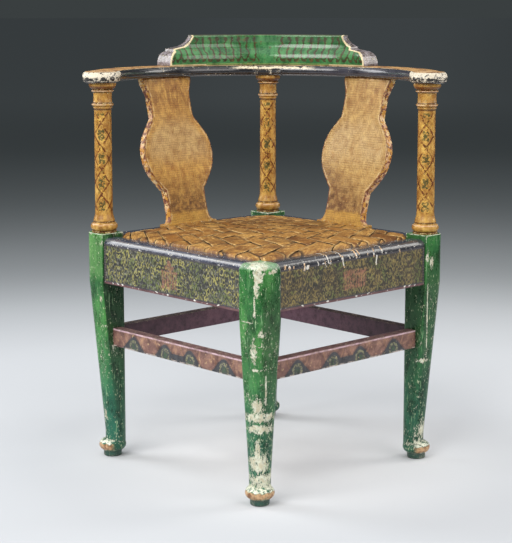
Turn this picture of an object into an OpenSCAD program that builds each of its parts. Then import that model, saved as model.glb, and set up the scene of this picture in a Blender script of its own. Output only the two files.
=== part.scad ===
// A painted corner chair: a square seat turned so that one leg stands in front,
// three turned posts, a bow of arms with a raised crest, and two vase splats.
// The origin is on the floor under the middle of the seat. The front leg points
// along -Y, the back post along +Y and the two side posts along -X and +X.

/* [Seat frame] */
// Width over the outer faces of two neighbouring legs
frame_side = 470; // [440:5:510]
// Side of the square stock that each leg is cut from
leg_side = 50; // [46:1:56]
// Height of the top of the seat rails above the floor
rail_top_z = 418; // [390:2:450]
// Depth of a seat rail from top to bottom
rail_h = 83; // [70:1:95]
// How far a rail's outer face lies behind the legs' outer faces
rail_inset = 4.5; // [2:0.5:8]
// Width of the lip along the top of a rail, outside the slip seat
lip_w = 32; // [28:1:34]
// Depth of the rebate that the slip seat drops into
rebate_depth = 20; // [16:1:28]
// Radius of the rounded nose along the two front rails
nose_r = 12.5; // [8:0.5:16]
// Radius of the eased top edge of the two back rails
back_nose_r = 2; // [1:0.5:2.5]
// Thickness of the rails' tenons
rail_tenon_t = 12; // [9:1:16]
// Height of the rails' tenons
rail_tenon_h = 56; // [40:1:62]
// Gap between a tenon and each wall of its mortise
fit_gap = 0.15; // [0.1:0.05:0.3]

/* [Legs] */
// Radius of the rounded outermost corner of a leg
leg_corner_r = 16; // [10:1:20]
// Height of the square block of a post above the rails' top
block_rise = 8; // [4:1:20]
// Height of the round ankle, where the taper ends
ankle_z = 50; // [46:1:70]
// Diameter of the ankle
ankle_d = 38; // [32:0.2:42]
// Diameter of the pad foot
pad_d = 51; // [46:0.2:60]
// Height of the widest part of the pad foot
pad_z = 21; // [18:1:25]
// Diameter of the small disc under the pad
base_d = 34; // [28:1:40]
// Height of the small disc under the pad
base_h = 9; // [5:1:10]

/* [Stretchers] */
// Height of the stretchers' lower edge above the floor
stretcher_z = 214.5; // [180:0.5:240]
// Depth of a stretcher from top to bottom
stretcher_h = 33; // [28:1:40]
// Thickness of a stretcher
stretcher_t = 20; // [16:1:24]
// How far a stretcher's inner face lies outside the legs' inner faces
stretcher_set = 7.6; // [6:0.2:9]
// Thickness of the stretchers' tenons
stretcher_tenon_t = 9; // [7:1:11]

/* [Columns] */
// Height of the arms' underside above the floor
arm_z = 702; // [670:2:730]
// Diameter of the column's base moulding and of its capital
column_max_d = 50; // [44:1:54]
// Diameter of the shaft just above the base moulding
shaft_low_d = 33; // [28:0.5:36]
// Diameter of the shaft just below the rings
shaft_top_d = 31.6; // [28:0.2:34]
// Diameter of the ring between shaft and neck
ring_d = 40.2; // [38:0.2:42]
// Diameter of the neck between ring and capital
neck_d = 34.6; // [32:0.2:36]
// Diameter of the round tenon that enters the arm
post_tenon_d = 22; // [18:1:26]
// Length of the round tenon that enters the arm
post_tenon_len = 14; // [10:1:16]

/* [Arms] */
// Width of the arm bow in plan
arm_w = 57.5; // [52:0.5:64]
// Thickness of the arm bow
arm_t = 21; // [19:1:26]
// Radius along the edges of the arm bow
arm_edge_r = 6; // [3:0.5:7]
// How much the round paddle at each arm's end is larger than half the arm's width
paddle_flare = 4.25; // [4:0.25:8]
// How far a paddle's centre lies outside the arm's centre line
paddle_out = 2.5; // [0:0.5:2.5]
// How far a paddle's centre lies in front of the side posts
paddle_forward = 4; // [0:0.5:6]
// Length of the half-lap joint between the two arms, along their centre line
lap_len = 62; // [48:1:80]

/* [Crest] */
// Height of the crest above the arms
crest_h = 60; // [52:1:70]
// Thickness of the crest at its foot
crest_t = 45; // [40:0.5:48]
// Thickness of the crest along its top edge
crest_top_t = 18; // [14:0.5:20]
// Length of the crest along the arm's centre line, at its foot
crest_len = 446; // [400:2:470]
// How much each end of the crest draws in from foot to top
crest_draw = 62; // [50:1:70]
// Length of the screws that hold the crest down
screw_len = 46; // [38:1:52]
// Diameter of the screws' shanks
screw_d = 4.8; // [3.8:0.2:5.6]

/* [Splats] */
// Thickness of a splat
splat_t = 15; // [11:0.5:17]
// Width of a splat across its widest part
bulb_w = 172; // [150:1:190]
// Width of a splat's neck
splat_neck_w = 101; // [88:1:110]
// Width of a splat's waist, below the widest part
splat_waist_w = 97; // [86:1:106]
// Width of a splat's head, under the arm
splat_head_w = 122; // [112:1:132]
// Distance along a splat from the rail to its widest part
bulb_rise = 142.5; // [125:0.5:150]
// Distance from the arm's centre line to a splat's front face, at the top
splat_top_set = 20; // [16:0.5:22]
// How far a splat's foot spreads beyond its waist on each side
foot_spread = 14; // [10:0.5:20]
// Height above the rail at which the foot starts to spread
foot_rise = 25; // [20:1:32]
// Height of the low shoe that a splat stands in
shoe_h = 6; // [5:0.5:9]

/* [Slip seat] */
// Gap between the woven edge and the rails' lip
seat_gap = 1.5; // [0.8:0.1:2]
// Thickness of the woven splints
weave_t = 2.5; // [1.5:0.5:3.5]
// Height of the middle of the seat above the rails' top
dome_h = 7; // [4:1:12]
// Width of the slip frame's members
slip_w = 45; // [36:1:60]
// Thickness of the slip frame's members
slip_t = 16; // [12:0.5:16]
// Length of the slip frame's tenons
slip_tenon_len = 25; // [15:1:30]
// Depth of the corner blocks from top to bottom
block_h = 24; // [18:1:36]
// Length of a corner block's front, across the corner
block_len = 110; // [90:2:130]

/* [Hidden] */

$fn = 64;
tiny = 0.02;

// Directions, as angles from +X, of the four corners and the four sides
front = 270;
left = 180;
right = 0;
back = 90;
front_left = 225;
front_right = 315;
back_left = 135;
back_right = 45;

// Plan of the seat frame, measured square to the rails
half_in = frame_side / 2 - leg_side;
leg_mid = half_in + leg_side / 2;
rail_face = frame_side / 2 - rail_inset;
lip_in = rail_face - lip_w;
rail_bottom_z = rail_top_z - rail_h;
ledge_z = rail_top_z - rebate_depth;
block_top_z = rail_top_z + block_rise;
rail_tenon_len = leg_side / 2 - rail_tenon_t / 2 - 1;
rail_tenon_z = rail_bottom_z + (ledge_z - rail_bottom_z - rail_tenon_h) / 2;
stretcher_mid = half_in + stretcher_set + stretcher_t / 2;
stretcher_tenon_len = stretcher_mid - stretcher_tenon_t / 2 - half_in - 1;
stretcher_tenon_h = stretcher_h - 10;

// Plan of the corners, measured along the diagonals
corner_in = half_in * sqrt(2);
post_r = leg_mid * sqrt(2);
pad_lip = 0.8;
pad_r = corner_in + pad_d / 2 - pad_lip;

// Arms and crest
arm_top_z = arm_z + arm_t;
arm_in = post_r - arm_w / 2;
paddle_r = arm_w / 2 + paddle_flare;
paddle_edge_r = arm_edge_r + 1.5;
lap_half_angle = lap_len / 2 / post_r * 180 / PI;
crest_in = post_r - crest_t / 2;
crest_out = post_r + crest_t / 2;
crest_top_z = arm_top_z + crest_h;
crest_screw_angles = [-31, -14, 14, 31];
screw_head_d = screw_d * 2;
screw_head_h = screw_d / 2;

// Splats
splat_foot_y = lip_in + 7;
splat_top_y = post_r - splat_top_set;
splat_lean = atan((splat_top_y - splat_foot_y) / (arm_z - rail_top_z));
splat_len = (arm_z - rail_top_z) / cos(splat_lean);
splat_depth = splat_t / cos(splat_lean);
splat_tenon_t = splat_t / 2;
splat_tenon_w = splat_neck_w * 0.8;
splat_tenon_h = 9;
splat_foot = splat_waist_w / 2 + foot_spread;
shoe_wall = 2;
shoe_chamfer = 1;
shoe_front = splat_foot_y - shoe_wall;
shoe_back = splat_foot_y + splat_depth + shoe_h * tan(splat_lean) + shoe_wall;

// Slip seat
seat_half = lip_in - seat_gap;
seat_cut = corner_in - seat_gap;
slip_half = seat_half - weave_t;
slip_cut = seat_cut - weave_t;
slip_in = slip_half - slip_w;
slip_top_z = ledge_z + slip_t;
slip_tenon_t = slip_t / 3;
dome_top_z = rail_top_z + dome_h;
dome_r = (pow(seat_cut, 2) + pow(dome_h, 2)) / 2 / dome_h;

// Points along an arc about a centre, from one angle to another
function arc(x, y, r, from, to, steps = 8) =
    [for (i = [0:steps]) let (a = from + (to - from) * i / steps) [x + r * cos(a), y + r * sin(a)]];

// Points of a smooth step from one x to another while y climbs
function ease(x0, x1, y0, y1, steps = 8) =
    [for (i = [0:steps]) [x0 + (x1 - x0) * (1 - cos(180 * i / steps)) / 2, y0 + (y1 - y0) * i / steps]];

// The same points with x reversed in sign and in the opposite order
function mirrored(points) =
    [for (i = [len(points) - 1:-1:0]) [-points[i][0], points[i][1]]];

// Places its children on a side: x runs along the side and y points outwards
module on_side(side) {
    rotate([0, 0, side - 90]) children();
}

// Places its children with the origin on a leg's inner corner and the leg along +x and +y
module on_corner(corner) {
    rotate([0, 0, corner]) translate([corner_in, 0, 0]) rotate([0, 0, -45]) children();
}

// A bar along x, centred on x, from y0 to y1 and z0 to z1
module bar(length, y0, y1, z0, z1) {
    translate([-length / 2, y0, z0]) cube([length, y1 - y0, z1 - z0]);
}

// Square plan of a leg with its outermost corner rounded
module leg_plan() {
    square([leg_side, leg_side - leg_corner_r]);
    square([leg_side - leg_corner_r, leg_side]);
    translate([leg_side - leg_corner_r, leg_side - leg_corner_r]) circle(leg_corner_r);
}

// The square part of a leg between two heights
module leg_block(z0, z1) {
    translate([0, 0, z0]) linear_extrude(z1 - z0) leg_plan();
}

// The tapering part, from the square block to the round ankle, and the ankle itself
module leg_taper() {
    ankle_mid = ankle_d / 2 / sqrt(2);
    hull() {
        translate([0, 0, rail_bottom_z]) linear_extrude(tiny) leg_plan($fn = 32);
        translate([ankle_mid, ankle_mid, ankle_z]) cylinder(d = ankle_d, h = tiny, $fn = 32);
    }
    hull() translate([ankle_mid, ankle_mid, pad_z]) cylinder(d = ankle_d, h = ankle_z - pad_z, $fn = 32);
}

// The pad foot, whose inner side stands a little inside the leg's inner corner
module leg_foot(corner) {
    round_r = 10.5;
    round_x = pad_d / 2 - round_r;
    profile = concat(
        [[0, 0], [base_d / 2 - 1, 0], [base_d / 2, 1], [base_d / 2, base_h]],
        arc(round_x, pad_z, round_r, -72, 68, 14),
        [[round_x, pad_z + round_r + 1], [0, pad_z + round_r + 1]]
    );
    rotate([0, 0, corner]) translate([pad_r, 0, 0]) rotate_extrude() polygon(profile);
}

// The tenons at both ends of a rail, with a gap round them when they cut a mortise
module rail_tenons(gap = 0) {
    bar(2 * (half_in + rail_tenon_len + gap), leg_mid - rail_tenon_t / 2 - gap,
        leg_mid + rail_tenon_t / 2 + gap, rail_tenon_z - gap, rail_tenon_z + rail_tenon_h + gap);
}

// The tenons at both ends of a stretcher, with a gap round them when they cut a mortise
module stretcher_tenons(gap = 0) {
    z0 = stretcher_z + (stretcher_h - stretcher_tenon_h) / 2;
    bar(2 * (half_in + stretcher_tenon_len + gap), stretcher_mid - stretcher_tenon_t / 2 - gap,
        stretcher_mid + stretcher_tenon_t / 2 + gap, z0 - gap, z0 + stretcher_tenon_h + gap);
}

// The square body of a stretcher, which ends in a shallow housing in each leg
module stretcher_body(gap = 0) {
    bar(2 * (half_in + gap), stretcher_mid - stretcher_t / 2 - gap,
        stretcher_mid + stretcher_t / 2 + gap, stretcher_z - gap, stretcher_z + stretcher_h + gap);
}

// Everything that the rails and stretchers cut from the leg on a corner
module leg_sockets(corner) {
    for (turn = [-45, 45]) on_side(corner + turn) {
        rail_tenons(fit_gap);
        stretcher_tenons(fit_gap);
        stretcher_body(fit_gap);
    }
}

// The turned column on top of a post, with its base, rings and capital
module column() {
    base = column_max_d / 2;
    low = shaft_low_d / 2;
    top = shaft_top_d / 2;
    ring = ring_d / 2;
    neck = neck_d / 2;
    torus_r = 8;
    torus_z = block_top_z + 3 + torus_r;
    cavetto_z = torus_z + torus_r;
    bead_r = 1.5;
    bead_z = arm_z - 45;
    ring_r = 2.5;
    ring_z = arm_z - 39.5;
    capital_z = arm_z - 12;
    profile = concat(
        [[0, block_top_z - 1], [base - 2, block_top_z - 1], [base - 2, block_top_z + 3]],
        arc(base - torus_r, torus_z, torus_r, -80, 70),
        ease(base - 5, low, cavetto_z, cavetto_z + 18, 6),
        [[top, bead_z - bead_r - 1]],
        arc(neck - bead_r + 0.4, bead_z, bead_r, -80, 80, 5),
        arc(ring - ring_r, ring_z, ring_r, -80, 80, 6),
        [[neck, ring_z + 5], [neck - 0.6, arm_z - 26], [neck, arm_z - 17.5]],
        arc(base - 6, arm_z - 14.5, 1.7, -80, 80, 4),
        arc(base - 9, capital_z + 9, 9, -75, 0, 6),
        [[base, arm_z], [0, arm_z]]
    );
    rotate_extrude() polygon(profile);
    cylinder(d = post_tenon_d, h = arm_z + post_tenon_len);
}

// A post: leg, square block and column turned from one length of stock
module post(corner) {
    color([0.16, 0.45, 0.25]) difference() {
        union() {
            on_corner(corner) {
                leg_block(rail_bottom_z, block_top_z);
                leg_taper();
            }
            leg_foot(corner);
        }
        leg_sockets(corner);
    }
    color([0.78, 0.6, 0.3]) intersection() {
        rotate([0, 0, corner]) translate([post_r, 0, 0]) column();
        translate([0, 0, block_top_z]) linear_extrude(arm_z) square(4 * post_r, center = true);
    }
}

// The front leg, which stops level with the rails under a rounded top
module front_leg() {
    low_z = rail_top_z - nose_r;
    color([0.16, 0.45, 0.25]) difference() {
        union() {
            on_corner(front) {
                leg_block(rail_bottom_z, low_z);
                leg_taper();
                intersection() {
                    leg_block(low_z, rail_top_z);
                    nosed_slab();
                    mirror([1, -1, 0]) nosed_slab();
                }
            }
            leg_foot(front);
        }
        leg_sockets(front);
    }
}

// A slab over the front leg whose outer top edge is rounded like the rails' nose
module nosed_slab() {
    rotate([90, 0, 90]) linear_extrude(leg_side) translate([0, rail_top_z - nose_r]) {
        square([leg_side - nose_r, nose_r]);
        translate([leg_side - nose_r, 0]) intersection() {
            circle(nose_r);
            square(nose_r);
        }
    }
}

// Section of a rail: rebated inside, with a rounded outer top edge
module rail_section(edge_r) {
    difference() {
        translate([half_in, rail_bottom_z]) square([rail_face - half_in, rail_h]);
        translate([half_in - 1, ledge_z]) square([lip_in - half_in + 1, rebate_depth + 1]);
        translate([rail_face - edge_r, rail_top_z - edge_r]) difference() {
            square(edge_r + 1);
            circle(edge_r);
        }
    }
}

// A seat rail with its two tenons
module rail(side, edge_r) {
    color([0.27, 0.29, 0.3]) on_side(side) {
        rotate([90, 0, 90]) linear_extrude(2 * half_in, center = true) rail_section(edge_r);
        rail_tenons();
    }
}

// A stretcher with its two tenons
module stretcher(side) {
    color([0.58, 0.38, 0.32]) on_side(side) {
        stretcher_body();
        stretcher_tenons();
    }
}

// Right half of a splat's outline, from its foot upwards
function splat_half_outline() =
    let (bulb = bulb_w / 2, neck = splat_neck_w / 2, waist = splat_waist_w / 2)
    let (foot_z = shoe_h + 0.5, foot_h = foot_rise - foot_z)
    let (bulge_r = 75, flank = 37, cusp = 3.5)
    let (side_x = bulb - bulge_r + bulge_r * cos(flank), side_y = bulge_r * sin(flank))
    let (low = waist + 5.5, low_y = bulb_rise - side_y - (side_x - low) / tan(flank))
    let (high = neck + 3.4, high_y = bulb_rise + side_y + (side_x - high) / tan(flank))
    concat(
        [[splat_foot, 0]],
        [for (i = [0:8]) let (a = 270 - 90 * i / 8)
            [splat_foot + foot_spread * cos(a), foot_rise + foot_h * sin(a)]],
        [[waist - 0.6, low_y - 26], [waist + 1, low_y - cusp], [low, low_y]],
        arc(bulb - bulge_r, bulb_rise, bulge_r, -flank, flank, 12),
        [[high, high_y], [neck + 0.6, high_y + 5], [neck, high_y + 12]],
        ease(neck, splat_head_w / 2, splat_len - 40, splat_len, 8)
    );

// Places its children in the plane of a splat: y runs up its front face
module on_splat() {
    translate([0, splat_foot_y, rail_top_z]) rotate([90 - splat_lean, 0, 0]) children();
}

// The part of a splat between the rail's top and the arm's underside
module splat_body() {
    half = concat([[splat_foot, -splat_t]], splat_half_outline(),
        [[splat_head_w / 2, splat_len + splat_t]]);
    intersection() {
        on_splat() translate([0, 0, -splat_t]) linear_extrude(splat_t)
            polygon(concat(half, mirrored(half)));
        bar(2 * bulb_w, 0, 2 * post_r, rail_top_z, arm_z);
    }
}

// The stub tenon on top of a splat, with a gap round it when it cuts the arm's mortise
module splat_tenon(gap = 0) {
    inset = (splat_t - splat_tenon_t) / 2;
    intersection() {
        on_splat() translate([-splat_tenon_w / 2 - gap, splat_len - 20, -splat_t + inset - gap])
            cube([splat_tenon_w + 2 * gap, 40, splat_tenon_t + 2 * gap]);
        bar(2 * bulb_w, 0, 2 * post_r, arm_z - (gap > 0 ? 1 : 0), arm_z + splat_tenon_h + gap);
    }
}

// A leaning splat: its body and its stub tenon
module splat(side) {
    color([0.76, 0.6, 0.36]) on_side(side) {
        splat_body();
        splat_tenon();
    }
}

// The low shoe that a splat stands in, on top of the back rail, with its upper edge chamfered
module shoe(side) {
    half = splat_foot + fit_gap + shoe_wall;
    color([0.8, 0.62, 0.28]) on_side(side) difference() {
        hull() {
            bar(2 * half, shoe_front, shoe_back, rail_top_z, rail_top_z + shoe_h - shoe_chamfer);
            bar(2 * (half - shoe_chamfer), shoe_front + shoe_chamfer, shoe_back - shoe_chamfer,
                rail_top_z, rail_top_z + shoe_h);
        }
        on_splat() translate([-splat_foot - fit_gap, -20, -splat_t - fit_gap])
            cube([2 * (splat_foot + fit_gap), shoe_h + 40, splat_t + 2 * fit_gap]);
    }
}

// Section of the arm bow about its centre line, with rounded edges
module arm_section(width, r = arm_edge_r) {
    translate([-width / 2 + r, 0]) square([width - 2 * r, arm_t]);
    translate([-width / 2, r]) square([width, arm_t - 2 * r]);
    for (x = [-width / 2 + r, width / 2 - r], y = [r, arm_t - r]) translate([x, y]) circle(r);
}

// A stretch of the arm bow between two angles
module arm_ring(from, to) {
    rotate([0, 0, from]) rotate_extrude(angle = to - from, $fn = 128)
        translate([post_r, 0]) arm_section(arm_w);
}

// The round paddle at the end of an arm
module arm_paddle() {
    rotate_extrude() intersection() {
        arm_section(2 * paddle_r, paddle_edge_r);
        square([paddle_r, arm_t]);
    }
}

// The half thickness that one arm loses to the other in their lap joint
module arm_lap_cut(from, to, z0) {
    translate([0, 0, arm_z + z0]) rotate([0, 0, from]) rotate_extrude(angle = to - from, $fn = 128)
        translate([arm_in - 1, 0]) square([arm_w + 2, arm_t / 2 + 1]);
}

// Everything that is bored or cut into the arm bow from below
module arm_sockets() {
    for (corner = [left, right, back]) rotate([0, 0, corner]) translate([post_r, 0, arm_z - 1])
        cylinder(d = post_tenon_d + 2 * fit_gap, h = post_tenon_len + fit_gap + 1);
    for (side = [back_left, back_right]) on_side(side) splat_tenon(fit_gap);
    screw_holes();
}

// One arm: its stretch of the bow and its paddle, less what its children cut away
module arm(paddle_side, from, to) {
    color([0.2, 0.22, 0.26]) difference() {
        translate([0, 0, arm_z]) {
            arm_ring(from, to);
            translate([paddle_side * (post_r + paddle_out), -paddle_forward, 0]) arm_paddle();
        }
        arm_sockets();
        children();
    }
}

// The left arm, which lies under the right one at the back
module left_arm() {
    arm(-1, back - lap_half_angle, left)
        arm_lap_cut(back - lap_half_angle - 1, back + lap_half_angle, arm_t / 2);
}

// The right arm, which lies over the left one at the back
module right_arm() {
    arm(1, right, back + lap_half_angle)
        arm_lap_cut(back - lap_half_angle, back + lap_half_angle + 1, -1);
}

// Section of the crest: a convex foot, a cove above it and a bead along the top
module crest_section() {
    swell_r = 22;
    swell_z = arm_top_z + 12;
    turn_x = crest_in + swell_r * (1 - cos(45));
    turn_z = swell_z + swell_r * sin(45);
    top_in = post_r + 8.5 - crest_top_t;
    cove_r = (top_in - turn_x) / (1 - cos(45));
    cove_z = turn_z + cove_r * sin(45);
    bead_z = crest_top_z - 3.5;
    polygon(concat(
        [[crest_in, arm_top_z]],
        arc(crest_in + swell_r, swell_z, swell_r, 180, 135, 6),
        arc(top_in - cove_r, cove_z, cove_r, -45, 0, 6),
        arc(top_in + 1, bead_z, 3.5, 200, 90, 5),
        arc(top_in + crest_top_t - 3, crest_top_z - 3, 3, 90, 10, 4),
        [[crest_out, arm_top_z + crest_h * 0.4], [crest_out, arm_top_z]]
    ));
}

// Distance that the crest's end has drawn in, against height above the arm: a cyma
function crest_end_line() =
    let (swell = [0.38, 0.395, 0.09], cove = [0.45, 0.465, 1.07])
    let (line = concat(
        [for (i = [0:8]) let (a = 180 - 71 * i / 8) [swell[0] * (1 + cos(a)), swell[2] + swell[1] * sin(a)]],
        [for (i = [0:7]) let (a = -71 + 54 * i / 7) [1 - cove[0] * (1 - cos(a)), cove[2] + cove[1] * sin(a)]]))
    concat(
        [[0, -1]],
        [for (point = line) [crest_draw * point[0], crest_h * point[1]]],
        [[crest_draw - 1, crest_h - 2.8], [crest_draw - 2.6, crest_h - 1.2], [crest_draw - 4, crest_h + 1]]
    );

// A wedge about the Z axis whose two sides follow the cyma line as it climbs
module crest_wedge() {
    line = crest_end_line();
    reach = 2 * crest_out;
    levels = len(line);
    function half_angle(i) = (crest_len / 2 - line[i][0]) / post_r * 180 / PI;
    points = [for (i = [0:levels - 1], s = [0, -1, 1])
        [s * reach * sin(half_angle(i)), abs(s) * reach * cos(half_angle(i)), arm_top_z + line[i][1]]];
    sides = [for (i = [0:levels - 2], j = [0:2]) let (a = 3 * i + j, b = 3 * i + (j + 1) % 3)
        each [[a, b, a + 3], [b, b + 3, a + 3]]];
    last = 3 * (levels - 1);
    polyhedron(points, concat([[0, 2, 1], [last, last + 1, last + 2]], sides), convexity = 4);
}

// The raised crest on top of the arms
module crest() {
    color([0.18, 0.47, 0.27]) difference() {
        intersection() {
            rotate([0, 0, 20]) rotate_extrude(angle = 140, $fn = 128) crest_section();
            crest_wedge();
        }
        screw_holes();
    }
}

// Places its children at each crest screw, on the arms' underside
module at_screws() {
    for (a = crest_screw_angles) rotate([0, 0, back + a]) translate([post_r, 0, arm_z]) children();
}

// The countersunk holes that the crest screws pass through
module screw_holes() {
    at_screws() {
        translate([0, 0, -1]) cylinder(d = screw_d + 2 * fit_gap, h = screw_len + fit_gap + 1);
        cylinder(d1 = screw_head_d + 2 * fit_gap, d2 = screw_d + 2 * fit_gap, h = screw_head_h);
    }
}

// The countersunk screws that hold the crest and the arms' joint together
module crest_screws() {
    color([0.35, 0.33, 0.3]) at_screws() difference() {
        union() {
            cylinder(d = screw_d, h = screw_len);
            cylinder(d1 = screw_head_d, d2 = screw_d, h = screw_head_h);
        }
        translate([-screw_head_d, -0.5, -1]) cube([2 * screw_head_d, 1, 2]);
    }
}

// The four blocks glued into the corners under the slip seat
module corner_blocks() {
    color([0.6, 0.46, 0.3]) for (corner = [front, left, right, back])
        rotate([0, 0, corner]) intersection() {
            translate([corner_in - block_len / 2, -block_len / 2, ledge_z - block_h])
                cube([block_len, block_len, block_h]);
            rotate([0, 0, 45]) translate([-half_in, -half_in, 0])
                cube([2 * half_in, 2 * half_in, rail_top_z]);
        }
}

// Plan of the slip seat: a square with its corners cut off round the posts
module seat_plan(half, cut) {
    intersection() {
        rotate(45) square(2 * half, center = true);
        square(2 * cut, center = true);
    }
}

// The tenons of a short slip-frame member, with a gap round them in the mortise
module slip_tenons(gap = 0) {
    inset = (slip_t - slip_tenon_t) / 2;
    bar(2 * (slip_in + slip_tenon_len + gap), slip_in + slip_w / 4 - gap,
        slip_half - slip_w / 4 + gap, ledge_z + inset - gap, slip_top_z - inset + gap);
}

// A slip-frame member: the long ones run through and hold the short ones' tenons
module slip_member(side, long) {
    color([0.62, 0.48, 0.3]) intersection() {
        on_side(side) {
            if (long) difference() {
                bar(2 * slip_half, slip_in, slip_half, ledge_z, slip_top_z);
                for (turn = [-90, 90]) rotate([0, 0, turn]) slip_tenons(fit_gap);
            }
            else {
                bar(2 * slip_in, slip_in, slip_half, ledge_z, slip_top_z);
                slip_tenons();
            }
        }
        linear_extrude(rail_top_z) seat_plan(slip_half + 1, slip_cut);
    }
}

// A round body under the seat's slight dome, lowered by the drop
module dome(drop = 0) {
    reach = corner_in + 2;
    steps = 12;
    curve = [for (i = [steps:-1:0]) let (x = reach * i / steps)
        [x, dome_top_z - drop - dome_r + sqrt(pow(dome_r, 2) - pow(x, 2))]];
    rotate_extrude($fn = 128) polygon(concat([[0, 0], [reach, 0]], curve));
}

// The woven seat: a slightly domed panel turned down over the slip frame's edges
module woven_seat() {
    shell = 2 * weave_t;
    color([0.7, 0.5, 0.26]) {
        intersection() {
            translate([0, 0, slip_top_z]) linear_extrude(dome_top_z) seat_plan(seat_half, seat_cut);
            difference() {
                dome();
                intersection() {
                    dome(shell);
                    linear_extrude(dome_top_z) seat_plan(slip_in, corner_in);
                }
            }
        }
        translate([0, 0, ledge_z + 1]) linear_extrude(slip_t) difference() {
            seat_plan(seat_half, seat_cut);
            seat_plan(slip_half, slip_cut);
        }
    }
}

front_leg();
post(left);  // left_post
post(right);  // right_post
post(back);  // back_post
rail(front_left, nose_r);  // front_left_rail
rail(front_right, nose_r);  // front_right_rail
rail(back_left, back_nose_r);  // back_left_rail
rail(back_right, back_nose_r);  // back_right_rail
stretcher(front_left);  // front_left_stretcher
stretcher(front_right);  // front_right_stretcher
stretcher(back_left);  // back_left_stretcher
stretcher(back_right);  // back_right_stretcher
splat(back_left);  // left_splat
splat(back_right);  // right_splat
shoe(back_left);  // left_shoe
shoe(back_right);  // right_shoe
left_arm();
right_arm();
crest();
crest_screws();
corner_blocks();
slip_member(front_left, true);  // seat_frame_front_left
slip_member(front_right, false);  // seat_frame_front_right
slip_member(back_left, false);  // seat_frame_back_left
slip_member(back_right, true);  // seat_frame_back_right
woven_seat();
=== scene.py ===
# %% [markdown]
# # A painted corner chair
#
# The chair stands on one of its corners: one leg in front, three posts that grow
# into turned columns, a bow of arms with a raised crest, two vase splats and a
# woven seat. The CAD frame already has every solid in its true place. This
# lesson dresses it: some solids keep their mesh and get a painted finish, others
# are replaced by softer, finer pieces that sit in exactly the same space.

# %% Load the frame
import math
import random
from bisect import bisect
from functools import reduce

import bmesh
import bpy
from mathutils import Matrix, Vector
from mathutils.kdtree import KDTree


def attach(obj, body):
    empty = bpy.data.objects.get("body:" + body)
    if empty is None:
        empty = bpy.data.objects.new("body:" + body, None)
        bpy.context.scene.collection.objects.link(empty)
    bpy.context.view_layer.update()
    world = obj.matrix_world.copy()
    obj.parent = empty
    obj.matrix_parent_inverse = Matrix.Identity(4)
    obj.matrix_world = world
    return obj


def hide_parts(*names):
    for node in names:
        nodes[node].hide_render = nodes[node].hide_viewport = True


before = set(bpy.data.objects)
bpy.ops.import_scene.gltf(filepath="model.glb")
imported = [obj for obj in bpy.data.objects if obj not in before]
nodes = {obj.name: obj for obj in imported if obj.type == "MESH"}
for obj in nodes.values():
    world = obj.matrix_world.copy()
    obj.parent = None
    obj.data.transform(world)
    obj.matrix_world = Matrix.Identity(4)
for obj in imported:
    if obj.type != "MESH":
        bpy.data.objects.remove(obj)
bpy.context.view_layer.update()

# %% [markdown]
# ## The measurements that the finishes share
#
# A painter works from the joiner's sizes. These few values repeat the frame's
# own, in metres, so that painted borders, bands and patterns follow the wood.

# %% Sizes
LIP_IN = 0.1985
BLOCK_TOP = 0.426
POST_RADIUS = 0.29698
ARM_UNDER = 0.702
ARM_TOP = 0.723
CREST_TOP = 0.783
STRETCHER_LOW = 0.2145
STRETCHER_TOP = 0.2475
DIAGONAL = math.sqrt(0.5)
TOUCHING = 0.001
print("arm is", round((ARM_TOP - ARM_UNDER) * 1000), "mm thick")

# %% [markdown]
# ## The camera
#
# The photograph was taken from almost 2.9 metres in front, a little to the right
# and a little above the seat's height, through a long lens. A small downward
# shift keeps the posts nearly upright, as the photographer's camera did.

# %% Camera
FOCAL_PIXELS = 1569.96
IMAGE_HEIGHT = 543
LOOKS_DOWN = 0.1399
LOOKS_LEFT = 0.0302
eye = bpy.data.cameras.new("eye")
eye.sensor_width = 36
eye.lens = FOCAL_PIXELS * eye.sensor_width / IMAGE_HEIGHT
eye.shift_y = -0.1
camera = bpy.data.objects.new("camera", eye)
camera.location = (0.0716, -2.8738, 0.8591)
camera.rotation_euler = (math.pi / 2 - LOOKS_DOWN, 0, LOOKS_LEFT)
bpy.context.scene.collection.objects.link(camera)
bpy.context.scene.camera = camera
bpy.context.scene.view_settings.view_transform = "Standard"
print("lens", round(eye.lens, 1), "mm")

# %% [markdown]
# ## Wiring materials as formulas
#
# A painted finish is arithmetic on positions: how far from an edge, how high up
# the leg, which repeat of a pattern. Wiring Math nodes one by one hides that
# arithmetic, so a `Wire` stands for one node output, and every sum on it adds
# the node that it needs to the same tree.


# %% Wires
class Wire:
    """One output in a node tree, which can be added, multiplied and compared."""

    def __init__(self, socket):
        self.socket = socket
        self.tree = socket.id_data

    def __abs__(self):
        return calc("ABSOLUTE", self)


# the four sums, with a wire or a plain number on either side
for sign, operation in (("add", "ADD"), ("sub", "SUBTRACT"), ("mul", "MULTIPLY"), ("truediv", "DIVIDE")):
    setattr(Wire, f"__{sign}__", lambda a, b, o=operation: calc(o, a, b))
    setattr(Wire, f"__r{sign}__", lambda a, b, o=operation: calc(o, b, a))


def tone(r, g, b):
    """An sRGB colour, 0 to 255, as the linear colour that a shader takes."""
    linear = [((c / 255 + 0.055) / 1.055) ** 2.4 if c > 10 else c / 3295 for c in (r, g, b)]
    return (*linear, 1.0)


def plug(socket, value):
    """Links a wire to a socket, or sets a plain value. Three numbers are an sRGB colour."""
    if isinstance(value, Wire):
        value.tree.links.new(value.socket, socket)
    elif socket.type == "RGBA" and len(value) == 3:
        socket.default_value = tone(*value)
    else:
        socket.default_value = value


def node(kind, inputs, out=0, tree=None, **settings):
    """Adds a node beside the wires that feed it, and gives back one of its outputs."""
    tree = tree or next(value.tree for value in inputs.values() if isinstance(value, Wire))
    made = tree.nodes.new("ShaderNode" + kind)
    for name, value in settings.items():
        setattr(made, name, value)
    for key, value in inputs.items():
        plug(made.inputs[key], value)
    return Wire(made.outputs[out])


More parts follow.
